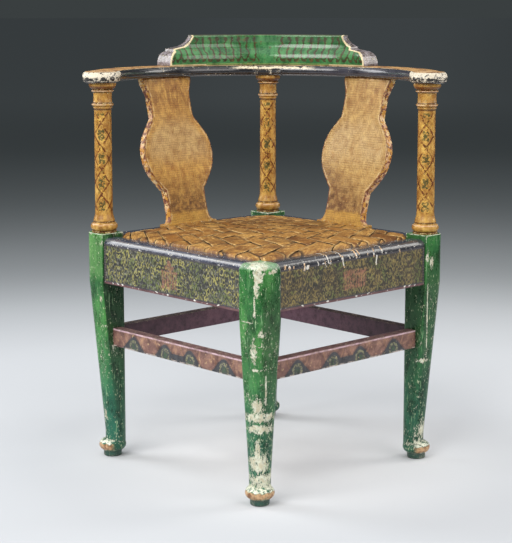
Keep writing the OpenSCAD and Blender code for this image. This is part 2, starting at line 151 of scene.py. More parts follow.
def calc(operation, *values, clamp=False):
    return node("Math", dict(enumerate(values)), operation=operation, use_clamp=clamp)


def least(a, b):
    return calc("MINIMUM", a, b)


def most(a, b):
    return calc("MAXIMUM", a, b)


def hypot(a, b):
    return calc("SQRT", a * a + b * b)


def wrap(value, half):
    """The distance from the middle of the nearest repeat, for repeats two halves wide."""
    return calc("WRAP", value, half, -half)


def smooth(low, high, value):
    """0 below low, 1 above high, with a soft step between them."""
    return node("MapRange", {"Value": value, 1: low, 2: high}, interpolation_type="SMOOTHSTEP")


def line(distance, half_width, blur):
    """1 on a painted line, falling to 0 outside half its width."""
    return 1 - smooth(half_width - blur, half_width + blur, abs(distance))


print("sums ready")

# %% [markdown]
# ## Places, noise and coats of colour
#
# Most of a hand-painted surface is noise between two limits, laid as a thin coat
# over the coats before it. So these helpers name just that: where a point is,
# patches of noise, and coats, each with the mask that it is laid through.


# %% Places, noise and coats
def split(vector):
    made = vector.tree.nodes.new("ShaderNodeSeparateXYZ")
    plug(made.inputs[0], vector)
    return [Wire(socket) for socket in made.outputs]


def join(x, y, z):
    return node("CombineXYZ", {0: x, 1: y, 2: z})


def scaled(vector, x, y, z):
    return node("VectorMath", {0: vector, 1: (x, y, z)}, operation="MULTIPLY")


def drawn(place, height):
    """A place with its height scaled: below 1, a pattern is drawn out upright like brush strokes."""
    return scaled(place, 1, 1, height)


def read(place, name):
    """A value that the mesh keeps at each vertex."""
    return node("Attribute", {}, out="Fac", tree=place.tree, attribute_name=name)


def facing(place):
    return node("TexCoord", {}, out="Normal", tree=place.tree)


def noise(vector, scale, detail=3, rough=0.55):
    return node("TexNoise", {"Vector": vector, "Scale": scale, "Detail": detail, "Roughness": rough})


def jitter(amount, *where):
    """Noise about 0, as wide as the amount: what makes a hand-painted line unsteady."""
    return (noise(*where) - 0.5) * amount


def patches(low, high, *where):
    """Soft-edged patches: 0 where the noise is below low, 1 where it is above high."""
    return smooth(low, high, noise(*where))


def mix(share, a, b, blend="MIX"):
    return node("Mix", {0: share, 6: a, 7: b}, out=2, data_type="RGBA", blend_type=blend)


def coats(colour, *layers):
    """Lays coats over a colour, each given as its mask, then its three sRGB numbers or its wire."""
    for mask, *paint in layers:
        colour = mix(mask, colour, paint if len(paint) == 3 else paint[0])
    return colour


def use(group, **inputs):
    """Places a node group, and gives back all its outputs by name."""
    tree = next(value.tree for value in inputs.values() if isinstance(value, Wire))
    made = tree.nodes.new("ShaderNodeGroup")
    made.node_tree = group
    for key, value in inputs.items():
        plug(made.inputs[key], value)
    return {socket.name: Wire(socket) for socket in made.outputs}


print("coats ready")

# %% [markdown]
# ## Groups and finishes
#
# An effect that several paints share is one node group with named sockets. A
# finish is one material: its wiring returns what varies over the surface, and
# what is the same everywhere is set on the shader's own sockets.


# %% Group and finish makers
def effect(name, inputs, outputs, wire_up):
    """A node group. Inputs and outputs map a socket's name to its kind or its first value."""
    tree = bpy.data.node_groups.new(name, "ShaderNodeTree")
    kinds = {float: "NodeSocketFloat", tuple: "NodeSocketColor"}
    for label, value in inputs.items():
        kind = "NodeSocketVector" if value is None else kinds[type(value)]
        socket = tree.interface.new_socket(label, in_out="INPUT", socket_type=kind)
        if value is not None:
            socket.default_value = value
    for label, kind in outputs.items():
        tree.interface.new_socket(label, in_out="OUTPUT", socket_type=kinds[kind])
    enter = tree.nodes.new("NodeGroupInput")
    leave = tree.nodes.new("NodeGroupOutput")
    results = wire_up(*(Wire(enter.outputs[label]) for label in inputs))
    for label, value in zip(outputs, results):
        plug(leave.inputs[label], value)
    return tree


def finish(name, wire_up, relief=0.0004, **constants):
    """A painted material. wire_up(place) returns colour, roughness and relief height."""
    material = bpy.data.materials.new(name)
    material.use_nodes = True
    tree = material.node_tree
    tree.nodes.clear()
    shader = tree.nodes.new("ShaderNodeBsdfPrincipled")
    output = tree.nodes.new("ShaderNodeOutputMaterial")
    tree.links.new(shader.outputs[0], output.inputs[0])
    colour, rough, height = wire_up(node("TexCoord", {}, out="Object", tree=tree))
    plug(shader.inputs["Base Color"], colour)
    plug(shader.inputs["Roughness"], rough)
    if height is not None:
        bump = node("Bump", {"Height": height, "Distance": relief, "Strength": 1.0})
        plug(shader.inputs["Normal"], bump)
    for label, value in constants.items():
        shader.inputs[label.replace("_", " ")].default_value = value
    print("finish", name, "has", len(tree.nodes), "nodes")
    return material


def repaint(material, *names):
    """Gives CAD nodes a new finish. Their meshes aren't touched."""
    for name in names:
        nodes[name].data.materials.clear()
        nodes[name].data.materials.append(material)
    print(material.name, "on", *names)


print("makers ready")

# %% [markdown]
# ## Old paint
#
# Hand-laid paint is never one colour: the brush leaves streaks, hands and sun
# leave clouds, and dirt settles in fine specks. Where it is knocked it flakes
# down to its pale ground, first along the edges. Both are groups, because every
# painted part of the chair shows them.


# %% Paint effects
def wire_mottled(colour, place, size, amount):
    clouds = noise(place, 1 / size, 4, 0.6)
    specks = noise(place, 9 / size, 2, 0.7)
    share = (clouds - 0.5) * 1.3 + (specks - 0.5) * 0.8
    light, dark = (1, 0.95, 0.8, 1), (0.04, 0.03, 0.02, 1)
    colour = mix(calc("MULTIPLY", share * 1.6, amount, clamp=True), colour, light, "SOFT_LIGHT")
    colour = mix(calc("MULTIPLY", share * -2.6, amount, clamp=True), colour, dark, "SOFT_LIGHT")
    return colour, share


mottled = effect(
    "mottled paint", {"Colour": (1.0, 1.0, 1.0, 1.0), "Place": None, "Size": 0.05, "Amount": 1.0},
    {"Colour": tuple, "Cloud": float}, wire_mottled,
)


def wire_flaked(paint, ground, place, edge, wear, size):
    """Flakes where noise plus nearness to an edge passes a limit that wear lowers."""
    coarse = noise(place, 1 / size, 5, 0.62)
    fine = noise(place, 4 / size, 3, 0.7)
    near = calc("POWER", 2.718, edge * -260)
    level = coarse * 0.6 + fine * 0.4 + near * 0.12 + wear
    bare = smooth(0.642, 0.662, level)
    rim = smooth(0.6, 0.645, level) - bare
    dirty = mix(rim * 0.5, paint, (0.025, 0.02, 0.016, 1))
    stain = mix(noise(place, 2.5 / size, 2) * 0.45, ground, (0.3, 0.22, 0.11, 1))
    return mix(bare, dirty, stain), bare, 1 - bare


flaked = effect(
    "flaked paint",
    {
        "Paint": (0.1, 0.3, 0.1, 1.0), "Ground": (0.8, 0.75, 0.6, 1.0), "Place": None,
        "Edge": 1.0, "Wear": 0.0, "Size": 0.02,
    },
    {"Colour": tuple, "Bare": float, "Height": float}, wire_flaked,
)


def aged(
    colour, place, ground, edge=None, wear=-0.02, clouds=0.012, flakes=0.005, amount=0.9,
    rough=0.45, bare_rough=0.2, grain=180, depth=0.3, relief=None,
):
    """Paint mottled and worn through to its ground: the colour, roughness and relief of a finish."""
    edge = edge or read(place, "edge")
    relief = relief or noise(place, grain, 2) * depth
    paint = use(mottled, Colour=colour, Place=place, Size=clouds, Amount=amount)
    worn = use(flaked, Paint=paint["Colour"], Ground=ground, Place=place, Edge=edge, Wear=wear, Size=flakes)
    return worn["Colour"], rough + worn["Bare"] * bare_rough, worn["Height"] + relief


def wire_side(place):
    """Folds the four sides onto one: distance along the side, distance out, and which way the side faces."""
    x, y, _ = split(place)
    u = (x + y) * DIAGONAL
    v = (y - x) * DIAGONAL
    turned = calc("GREATER_THAN", abs(u), abs(v))
    return calc("MULTIPLY_ADD", turned, v - u, u), most(abs(u), abs(v)), turned


side_plan = effect("side plan", {"Place": None}, {"Along": float, "Out": float, "Turned": float}, wire_side)
print("groups", [group.name for group in bpy.data.node_groups])

# %% [markdown]
# ## Green paint on the legs
#
# The legs are a strong leaf green over a pale ground. They are flecked with
# small upright chips, worst along the arrises and near the floor, and the front
# leg has lost whole patches at its top, with runs below them, and above its foot.

# %% Green paint
CHIP = (226, 228, 207)
# in millimetres: x, y and z of each patch's middle, then its half sizes
SPILLS = [
    (-3, -310, 416, 19, 30, 8), (-2, -320, 400, 10, 30, 16), (-5, -325, 380, 6, 30, 16),
    (-8, -310, 352, 2, 30, 22), (21, -310, 406, 8, 30, 4), (-18, -300, 321, 13, 30, 1),
    (3, -300, 300, 6, 30, 9), (-9, -300, 272, 5, 30, 24), (-4, -300, 240, 12, 30, 3),
    (11, -300, 208, 2, 30, 32), (-3, -300, 178, 11, 30, 17), (1, -300, 157, 26, 30, 10),
    (-1, -300, 136, 22, 30, 8), (-3, -300, 98, 5, 30, 22), (-3, -300, 76, 16, 30, 14),
    (3, -300, 46, 15, 30, 9), (-301, -26, 304, 4, 20, 7), (300, -26, 384, 2.5, 20, 13),
    (308, -26, 377, 3, 20, 12), (301, -26, 270, 1, 20, 75), (291, -34, 191, 12, 30, 4),
    (298, -30, 55, 14, 30, 20), (-301, -26, 78, 8, 20, 24),
]


def spilled(place, spots):
    """How far outside ragged patches a point lies: below 1 inside, each an ellipsoid roughened by noise."""
    ragged = noise(drawn(place, 0.8), 130, 5, 0.8)
    reaches = []
    for spot in spots:
        x, y, z, a, b, c = (v / 1000 for v in spot)
        offset = node("VectorMath", {0: place, 1: (x, y, z)}, operation="SUBTRACT")
        offset = scaled(offset, 1 / a, 1 / b, 1 / c)
        reaches.append(node("VectorMath", {0: offset}, out=1, operation="LENGTH"))
    return reduce(least, reaches) + ragged * 2.4 - 1.2


def wire_green(place):
    x, y, z = split(place)
    edge = read(place, "edge")
    upright = drawn(place, 0.42)
    # faces turned to the middle of the chair: painted shade where the seat shades them, and a little less
    # wear
    flat = node("VectorMath", {0: drawn(place, 0)}, operation="NORMALIZE")
    inward = node("VectorMath", {0: facing(place), 1: flat}, out=1, operation="DOT_PRODUCT")
    inward = smooth(0.05, -0.45, inward)
    # painted shade: sides turned to the right are darker and browner, the right post darker still low down;
    # painted light: the left block's left faces are paler
    across = split(facing(place))[0]
    right_side_shade = smooth(0.1, 0.6, across) * smooth(0.42, 0.32, z)
    shaded = smooth(0.24, 0.28, x) * smooth(0.35, 0.28, z)
    pale = smooth(0.0, -0.4, across) * smooth(-0.2, -0.3, x) * smooth(0.33, 0.36, z)
    base = coats(
        mix(patches(0.36, 0.64, upright, 26, 4, 0.65), (68, 134, 64), (38, 98, 48)),
        (smooth(0.28, 0.04, z) * 0.8, 32, 96, 84),
        # painted shade on the sides turned to the right
        (right_side_shade * 0.65, mix(smooth(0.3, 0.05, z), (44, 74, 44), (30, 72, 50))),
        # painted shade low on the right post, and painted light on the left block
        (shaded * 0.5, 18, 66, 42), (pale * 0.5, 108, 152, 92),
        # painted shade on the faces turned inward, below the seat
        (inward * smooth(0.1, 0.3, z) * 0.6, 24, 50, 36),
    )
    paint = use(mottled, Colour=base, Place=upright, Size=0.014, Amount=1.0)
    spills = spilled(place, SPILLS)
    front = smooth(-0.2, -0.26, y)
    low = smooth(0.25, 0.03, z) * (0.01 + front * 0.03)
    patchy = jitter(0.28, place, 12, 2)
    wear = low + patchy + smooth(1.7, 0.5, spills) * 0.15 - inward * 0.03
    worn = use(
        flaked, Paint=paint["Colour"], Ground=CHIP, Place=drawn(place, 0.5), Edge=edge, Wear=wear,
        Size=0.0062,
    )
    specks = smooth(0.655, 0.675, noise(drawn(place, 0.4), 420, 2, 0.6) + patchy * 0.3 + low * 1.6)
    scratches = patches(0.66, 0.69, drawn(place, 0.07), 330, 2)
    bare = smooth(0.86, 0.72, spills) * patches(0.44, 0.48, drawn(place, 0.6), 175, 4, 0.75)
    # a painted highlight: a pale glare band across the front leg's rounded top, beside its spill
    painted_glare = line(z + abs(x) * 0.12 - 0.4175, 0.004, 0.003) * front * patches(0.3, 0.5, place, 60, 3)
    # the square block's upper arrises are rubbed to the ground
    block_rim = smooth(0.0016, 0.0008, edge) * smooth(0.405, 0.41, z) * patches(0.42, 0.5, place, 85, 3, 0.7)
    # the pad: an ochre band under a chipped white rim, and a dark ring below
    outward = smooth(0.279, 0.29, hypot(x, y))
    wobble = jitter(0.01, place, 130, 3, 0.65)
    band = smooth(0.0125, 0.0135, z + wobble) * smooth(0.0255, 0.0245, z + wobble) * outward
    band = band * patches(0.33, 0.42, place, 110, 4, 0.75)
    white = line(z + wobble - 0.0285, 0.0028, 0.0008) * outward * patches(0.4, 0.5, place, 170, 2)
    colour = coats(
        worn["Colour"], (specks * 0.8, 206, 214, 176), (scratches * 0.55, 150, 190, 140),
        (bare, mix(patches(0.4, 0.6, place, 130, 3), CHIP, (204, 196, 166))),
        # the painted highlight on the front leg's top
        (painted_glare * 0.38, 186, 204, 184), (block_rim * 0.8, CHIP),
        (band * 0.92, mix(patches(0.35, 0.65, place, 150, 4, 0.7), (216, 176, 132), (134, 86, 54))),
        (white, CHIP), (smooth(0.0115, 0.0105, z) * 0.75, 50, 74, 66),
    )
    rough = 0.3 + worn["Bare"] * 0.35 + paint["Cloud"] * 0.2
    return colour, rough, worn["Height"] + noise(upright, 160, 2) * 0.25


green_paint = finish("green paint", wire_green, Specular_IOR_Level=0.4)

# %% [markdown]
# ## Copies with softened arrises
#
# A CAD solid has knife-sharp edges, and paint wears where an edge is. Each worn
# piece is made from its own solid: the triangles are merged, points are laid
# along every sharp edge, and a fine voxel remesh rounds the edges as hands have.
# Every vertex then keeps its distance to the nearest old edge, in an attribute
# that the paint reads.

# %% Softened copies
SAME_PLACE = 1e-6
FARTHEST = 0.05


def merged_copy(name):
    """A CAD node's triangles as one closed bmesh."""
    shape = bmesh.new()
    shape.from_mesh(nodes[name].data)
    bmesh.ops.remove_doubles(shape, verts=shape.verts, dist=SAME_PLACE)
    return shape


def sharp_points(shape, test=None, angle=35, step=0.002):
    """Points along the edges that are sharper than an angle in degrees and pass the test."""
    points = []
    for edge in shape.edges:
        if len(edge.link_faces) != 2 or edge.calc_face_angle(0) < math.radians(angle):
            continue
        if test and not test(edge):
            continue
        a, b = (v.co for v in edge.verts)
        steps = max(1, int((b - a).length / step))
        points += [a.lerp(b, i / steps) for i in range(steps + 1)]
    return points


def mark_distance(mesh, name, points):
    """Stores each vertex's distance to the nearest of the points."""
    tree = KDTree(len(points))
    for i, point in enumerate(points):
        tree.insert(point, i)
    tree.balance()
    attribute = mesh.attributes.new(name, "FLOAT", "POINT")
    attribute.data.foreach_set("value", [min(tree.find(v.co)[2], FARTHEST) for v in mesh.vertices])


def placed(name, shape):
    """Makes a bmesh an object of the scene, and frees the bmesh."""
    mesh = bpy.data.meshes.new(name)
    shape.to_mesh(mesh)
    shape.free()
    piece = bpy.data.objects.new(name, mesh)
    bpy.context.scene.collection.objects.link(piece)
    print(name, "from", len(mesh.polygons), "faces")
    return piece


def soften(name, shape, voxel, **edges):
    """A smooth closed object remeshed from a shape, with its distance to the shape's sharp edges."""
    points = sharp_points(shape, **edges)
    piece = placed(name, shape)
    knife_sharp = piece.data
    remesh = piece.modifiers.new("soften", "REMESH")
    remesh.mode = "VOXEL"
    remesh.voxel_size = voxel
    remesh.use_smooth_shade = True
    graph = bpy.context.evaluated_depsgraph_get()
    fine = bpy.data.meshes.new_from_object(piece.evaluated_get(graph))
    piece.modifiers.clear()
    piece.data = fine
    fine.name = name
    bpy.data.meshes.remove(knife_sharp)
    mark_distance(fine, "edge", points)
    print(name, "now", len(fine.polygons), "faces")
    return piece


def dress(piece, material, slot, *stands_for, body="chair_frame"):
    """Paints a new piece, ties it to its body and hides the solids it stands for. The slot is not used."""
    piece.data.materials.clear()
    piece.data.materials.append(material)
    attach(piece, body)
    if stands_for:
        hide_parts(*stands_for)


print("softening ready")

# %% [markdown]
# ## The legs
#
# Below the column a post is a square block, a taper, a round ankle and a pad
# foot. The copy of the solid is cut level with the block's top, capped and
# softened. The column above is turned separately.

# %% Legs
LEG_VOXEL = 0.0016
SAW_CUT = 0.0001


def cut_level(shape, height):
    """Takes away what is above a height, and caps the cut."""
    everything = shape.verts[:] + shape.edges[:] + shape.faces[:]
    cut = bmesh.ops.bisect_plane(
        shape, geom=everything, plane_co=(0, 0, height), plane_no=(0, 0, 1), clear_outer=True,
    )
    rim = [part for part in cut["geom_cut"] if isinstance(part, bmesh.types.BMEdge)]
    bmesh.ops.holes_fill(shape, edges=rim)


for solid in ("left_post", "right_post", "back_post", "front_leg"):
    shape = merged_copy(solid)
    if solid != "front_leg":
        cut_level(shape, BLOCK_TOP - SAW_CUT)
    name = solid.replace("post", "leg") + "_wood"
    dress(soften(name, shape, LEG_VOXEL), green_paint, "green_paint", solid)

# %% [markdown]
# ## The columns' paint
#
# The columns are ochre with a lattice of thin brown lines and a small green
# floret in each diamond, between plain mouldings picked out in brown. Around a
# round shaft the pattern needs an unrolled position: the angle round the column's
# own axis times its radius, and the height. Each column lies on its own diagonal,
# so the position is first moved to the nearest of the three axes.

# %% Floret group and column paint
SHAFT_RADIUS = 0.0165
DIAMOND_HEIGHT = 0.0435
DIAMOND_HALF = 0.0155


def wire_floret(across, up, size):
    """A small floret about the origin: two leaves on each side of a stalk, 1 inside them."""
    radius = calc("SQRT", across * across + up * up * 0.45) / size
    leaves = 0.45 + abs(calc("SINE", calc("ARCTAN2", up * 0.67, across) * 2)) * 0.6
    stalk = line(across, size * 0.16, size * 0.1) * line(up, size * 0.9, size * 0.2)
    return (most(smooth(1.08, 0.9, radius / leaves), stalk),)


floret = effect("floret", {"Across": 0.0, "Up": 0.0, "Size": 0.008}, {"Petals": float}, wire_floret)


def rings(z, blur, *lines):
    """Painted rings round the column, each given by its height and half its width."""
    return reduce(most, [line(z - height, half, blur) for height, half in lines])


def wire_column(place):
    x, y, z = split(place)
    behind = calc("GREATER_THAN", y, 0.15)
    px = x - calc("SIGN", x) * POST_RADIUS * (1 - behind)
    py = y - behind * POST_RADIUS
    angle = calc("ARCTAN2", px, py * -1)
    across = angle * SHAFT_RADIUS + 0.002
    wobble = jitter(0.01, place, 40, 3)
    up = z - 0.476 + wobble * 0.8
    zig = calc("PINGPONG", up + DIAMOND_HEIGHT / 2, DIAMOND_HEIGHT / 2) * (2 * DIAMOND_HALF / DIAMOND_HEIGHT)
    lattice = line(abs(wrap(across + wobble * 0.6, DIAMOND_HALF)) - zig, 0.0018, 0.0009)
    crooked = jitter(0.008, place, 150, 2)
    middle = wrap(up + wobble * 0.3, DIAMOND_HEIGHT / 2) + crooked
    bloom = use(floret, Across=wrap(across, DIAMOND_HALF) + crooked, Up=middle, Size=0.008)["Petals"]
    shaft = smooth(0.463, 0.468, z) * smooth(0.65, 0.646, z)
    sprinkle = line(across, 0.009, 0.004) * shaft
    mouldings = most(line(z - 0.6925, 0.004, 0.0006) * 0.8, smooth(0.4305, 0.4295, z) * 0.8)
    gaps = rings(z, 0.0006, (0.6535, 0.0014), (0.6655, 0.0014), (0.4465, 0.0012), (0.6855, 0.0012))
    lit = rings(z, 0.0005, (0.6625, 0.0009), (0.6875, 0.0008), (0.442, 0.0008))
    painted = coats(
        mix(patches(0.4, 0.62, drawn(place, 0.45), 90, 4, 0.7), (172, 126, 56), (206, 162, 84)),
        (patches(0.46, 0.62, drawn(place, 0.5), 70, 4, 0.65) * 0.6, 144, 92, 38),
        # painted shade: darker towards the two flanks, turned away from the front
        (smooth(0.8, 1.5, abs(angle)) * 0.45, 112, 70, 30),
        (lattice * shaft * patches(0.38, 0.5, place, 65, 3, 0.7) * 0.95, 100, 48, 20),
        (patches(0.57, 0.61, place, 210, 2) * sprinkle * 0.75, 224, 182, 84),
        (patches(0.59, 0.63, drawn(place, 0.7), 170, 3) * sprinkle * 0.6, 112, 90, 40),
        (bloom * shaft * patches(0.4, 0.52, place, 240, 2) * 0.85, 58, 66, 36),
        (mouldings, 92, 44, 20), (gaps * 0.8, 80, 42, 20),
        (lit * patches(0.4, 0.5, place, 120, 2) * 0.6, 232, 200, 168),
    )
    return aged(painted, place, (226, 196, 136), wear=0.0, clouds=0.01, amount=1.0, rough=0.36, grain=220)


column_paint = finish("column paint", wire_column, Specular_IOR_Level=0.4)

# %% [markdown]
# ## Turning the columns
#
# A lathe makes these mouldings from one profile, and `spin` is Blender's lathe:
# a line of vertices from the axis out and back, swept once round. The sharp
# corners of the profile stay crisp because only the fair curves are smooth.


# %% Columns
def arc(centre, height, radius, start, end, steps=8):
    """Profile points along an arc, in metres, from one angle to another in degrees."""
    turns = [math.radians(start + (end - start) * i / steps) for i in range(steps + 1)]
    return [(centre + radius * math.cos(t), height + radius * math.sin(t)) for t in turns]


def column_profile():
    base, neck = 0.025, 0.0173
    torus, bead, ring = 0.437, 0.657, 0.6625
    flare = [(0.02 - 0.00175 * (1 - math.cos(math.pi * i / 6)), 0.445 + 0.003 * i) for i in range(7)]
    return (
        [(0, 0.4255), (0.023, 0.4255), (0.023, 0.429)]
        + arc(0.017, torus, 0.008, -80, 70)
        + flare
        + [(0.0161, 0.55), (0.0158, 0.6545)]
        + arc(neck - 0.0011, bead, 0.0015, -80, 80, 6)
        + arc(0.0176, ring, 0.0025, -80, 80, 8)
        + [(neck, 0.6675), (neck - 0.0006, 0.676), (neck, 0.6845)]
        + arc(base - 0.006, 0.6875, 0.0017, -80, 80, 6)
        + arc(base - 0.009, 0.699, 0.009, -75, 0, 8)
        + [(base, 0.7019), (0, 0.7019)]
    )


def turned(name, x, y):
    shape = bmesh.new()
    profile = [shape.verts.new((x + r, y, z)) for r, z in column_profile()]
    edges = [shape.edges.new(pair) for pair in zip(profile, profile[1:])]
    long_edges = [edge for edge in edges if edge.calc_length() > 0.012]
    bmesh.ops.subdivide_edges(shape, edges=long_edges, cuts=12)
    bmesh.ops.spin(
        shape, geom=shape.verts[:] + shape.edges[:], cent=(x, y, 0), axis=(0, 0, 1),
        angle=math.tau, steps=72, use_merge=True,
    )
    bmesh.ops.remove_doubles(shape, verts=shape.verts, dist=SAME_PLACE)
    bmesh.ops.recalc_face_normals(shape, faces=shape.faces)
    points = sharp_points(shape, angle=40)
    piece = placed(name, shape)
    mark_distance(piece.data, "edge", points)
    piece.data.shade_smooth()
    piece.data.set_sharp_from_angle(angle=math.radians(38))
    dress(piece, column_paint, "ochre_paint")


turned("left_column", -POST_RADIUS, 0)
turned("right_column", POST_RADIUS, 0)
turned("back_column", 0, POST_RADIUS)

# %% [markdown]
# ## The seat rails
#
# Each rail's face is filled with small olive scrolls on a dark ground, inside a
# plain border, round a terracotta pavilion. Folding smooth noise about upright
# lines and drawing its contour lines gives just such even, symmetrical scrollwork.
# The rounded nose above is glossy slate, chipped and rubbed white along a broken
# line, and on the right rail a few drips of pale paint have run down from it.

# %% Rail paint
RAIL_WHITE = (228, 224, 214)
# in millimetres: distance from the rail's middle towards the front leg, height of the top, length, half width
DRIPS = [
    (171, 412, 4, 2.2), (160, 410.5, 4, 2.6), (150, 409, 3, 1.2), (124, 411, 11, 1.8), (117, 407, 4, 3),
    (92, 410, 6, 0.9), (66, 419, 14, 1.4), (74, 411, 12, 1), (61, 408, 6, 1), (34, 419, 11, 1),
    (29, 413, 20, 1.3), (14, 412, 5, 0.9), (-4, 419, 12, 1.8), (-12, 419, 7, 1.4), (-33, 411, 4, 0.9),
    (-50, 417, 14, 1.4), (-55, 405, 16, 1.5), (-72, 418, 11, 1.6), (-117, 410, 6, 1),
]


def wire_scrolls(across, up, size):
    """Folded contour lines of smooth noise: 1 on a scroll, with a second, finer growth of leaves."""
    shifted = across + 10
    bent = join(calc("PINGPONG", shifted, size), up * 0.62, calc("FLOOR", shifted / size / 2) * 0.013)
    scroll = line(calc("FRACT", noise(bent, 74, 1.8, 0.55) * 5.7) - 0.5, 0.145, 0.08)
    return scroll, patches(0.61, 0.65, bent, 240, 1.5, 0.5)


scrollwork = effect(
    "scrollwork", {"Across": 0.0, "Up": 0.0, "Size": 0.02}, {"Scroll": float, "Leaves": float}, wire_scrolls,
)


def wire_drips(place, along, z):
    """Crumbly runs of pale paint, each with a round drop at its lower end."""
    runs = []
    for drip in DRIPS:
        start, top, length, half = (v / 1000 for v in drip)
        aside = along * -1 - start + jitter(0.01, join(z, start * 9, 0.0), 110, 3)
        run = line(aside, half, 0.0006) * line(z - (top - length / 2), length / 2, 0.0008)
        runs.append(most(run, line(hypot(aside, z - top + length), half * 1.25, 0.0006)))
    return reduce(most, runs) * patches(0.41, 0.47, place, 230, 3, 0.75)


def wire_pavilion(place, along, z, right, wobble):
    """A worn, barred hall: wider on the right rail, with a stepped roof on the left."""
    rough_up = z + jitter(0.006, place, 160, 2)
    span = abs(along + jitter(0.008, place, 120, 2))
    hall = line(span - right * 0.007, 0.0215, 0.002)
    hall = hall * line(rough_up - 0.3645 - right * 0.005, 0.0165, 0.0015)
    roof = line(span, 0.012, 0.002) * line(rough_up - 0.385, 0.005, 0.0012)
    roof_top = line(span, 0.0045, 0.0015) * line(rough_up - 0.394, 0.005, 0.0012)
    bars = line(wrap(along + wobble, 0.0034), 0.0012, 0.0006) * line(rough_up - 0.364, 0.012, 0.001)
    shape = most(hall, most(roof, roof_top) * (1 - right))
    return shape * patches(0.36, 0.6, place, 170, 4, 0.75) * (0.72 + right * 0.14 - bars * 0.6)


def wire_rail(place):
    x, y, z = split(place)
    side = use(side_plan, Place=place)
    along, out = side["Along"], side["Out"]
    front = calc("LESS_THAN", y, 0)
    right = calc("GREATER_THAN", x, 0) * front
    wobble = jitter(0.0016, place, 70, 2)
    # ground, scrolls and pavilion
    pattern = use(scrollwork, Across=along, Up=z, Size=0.021)
    scrolls = most(pattern["Scroll"] * 0.95, pattern["Leaves"] * 0.8)
    scrolls = scrolls * patches(0.34, 0.5, place, 230, 3, 0.75)
    gold = mix(right, (162, 155, 84), (144, 126, 70))
    face = coats(
        mix(right, (52, 52, 49), (60, 50, 34)), (patches(0.4, 0.6, place, 60, 3), 36, 36, 28),
        (
            patches(0.54, 0.62, join(along, z * 0.3, 3.0), 420, 2, 0.6) * 0.6,
            mix(right, (142, 140, 122), (128, 112, 78)),
        ),
        (scrolls, coats(gold, (patches(0.45, 0.65, place, 35, 2), 104, 116, 58))),
        (
            patches(0.6, 0.64, join(along, z * 0.5, 1.0), 330, 2) * 0.45,
            mix(right, (150, 152, 150), (136, 124, 96)),
        ),
        (wire_pavilion(place, along, z, right, wobble), 160, 108, 84),
    )
    # dark dotted borders, the brown lower arris, and the slate nose
    rounding = 0.4078 - right * 0.0026
    border = most(smooth(0.1795, 0.181, abs(along)), smooth(-0.003, -0.002, z - rounding))
    dotted = line(abs(along) - 0.1825, 0.0012, 0.0005) * line(wrap(z, 0.0024), 0.0013, 0.0005)
    nose = smooth(0.0, 0.0008, z - rounding + wobble * 0.5)
    slate = mix(noise(join(along * 0.25, z, out), 120, 3), (40, 43, 54), (82, 86, 104))
    face = coats(
        face, (most(border, smooth(0.3415, 0.3405, z)), 62, 58, 64), (dotted * 0.6, 138, 120, 116),
        (smooth(0.3392, 0.3382, z), 104, 70, 72), (nose, coats(slate, (right * 0.6, 58, 57, 54))),
    )
    paint = use(mottled, Colour=face, Place=place, Size=0.02, Amount=0.7)
    # white: a painted highlight along the nose, its broken worn line, chips on it and along the lower arris
    painted_highlight = line(z - rounding - 0.0066 + wobble, 0.0016, 0.0014) * (0.16 - right * 0.08)
    bare_line = line(z - rounding - 0.0004 + wobble, 0.0011, 0.0006)
    bare_line = bare_line * patches(0.55, 0.62, join(along * 0.5, z * 0.5, 2.0), 90, 4, 0.7) * front
    lip_chips = patches(0.63, 0.655, join(along, z * 2, out * 2), 130, 4, 0.65) * nose
    low_chips = patches(0.56, 0.6, join(along * 0.7, z, 5.0), 110, 3, 0.65)
    low_chips = low_chips * line(z - 0.3383, 0.0017, 0.0006)
    white = most(most(bare_line * 0.95, painted_highlight * front), most(lip_chips * 0.85, low_chips))
    runs = wire_drips(place, along, z) * right
    colour = coats(
        paint["Colour"], (white, RAIL_WHITE),
        (runs, mix(patches(0.45, 0.55, place, 90, 2), RAIL_WHITE, (216, 176, 128))),
        (smooth(LIP_IN + 0.001, LIP_IN - 0.001, out), 150, 118, 78),
    )
    rough = 0.52 - nose * 0.4 + most(white - painted_highlight, runs) * 0.3
    return colour, rough, most(white, runs) * 0.6 + noise(place, 200, 3) * 0.3 + pattern["Scroll"] * 0.2


rail_paint = finish("rail paint", wire_rail, Specular_IOR_Level=0.8)
SIDES = ("front_left", "front_right", "back_left", "back_right")
repaint(rail_paint, *(side + "_rail" for side in SIDES))
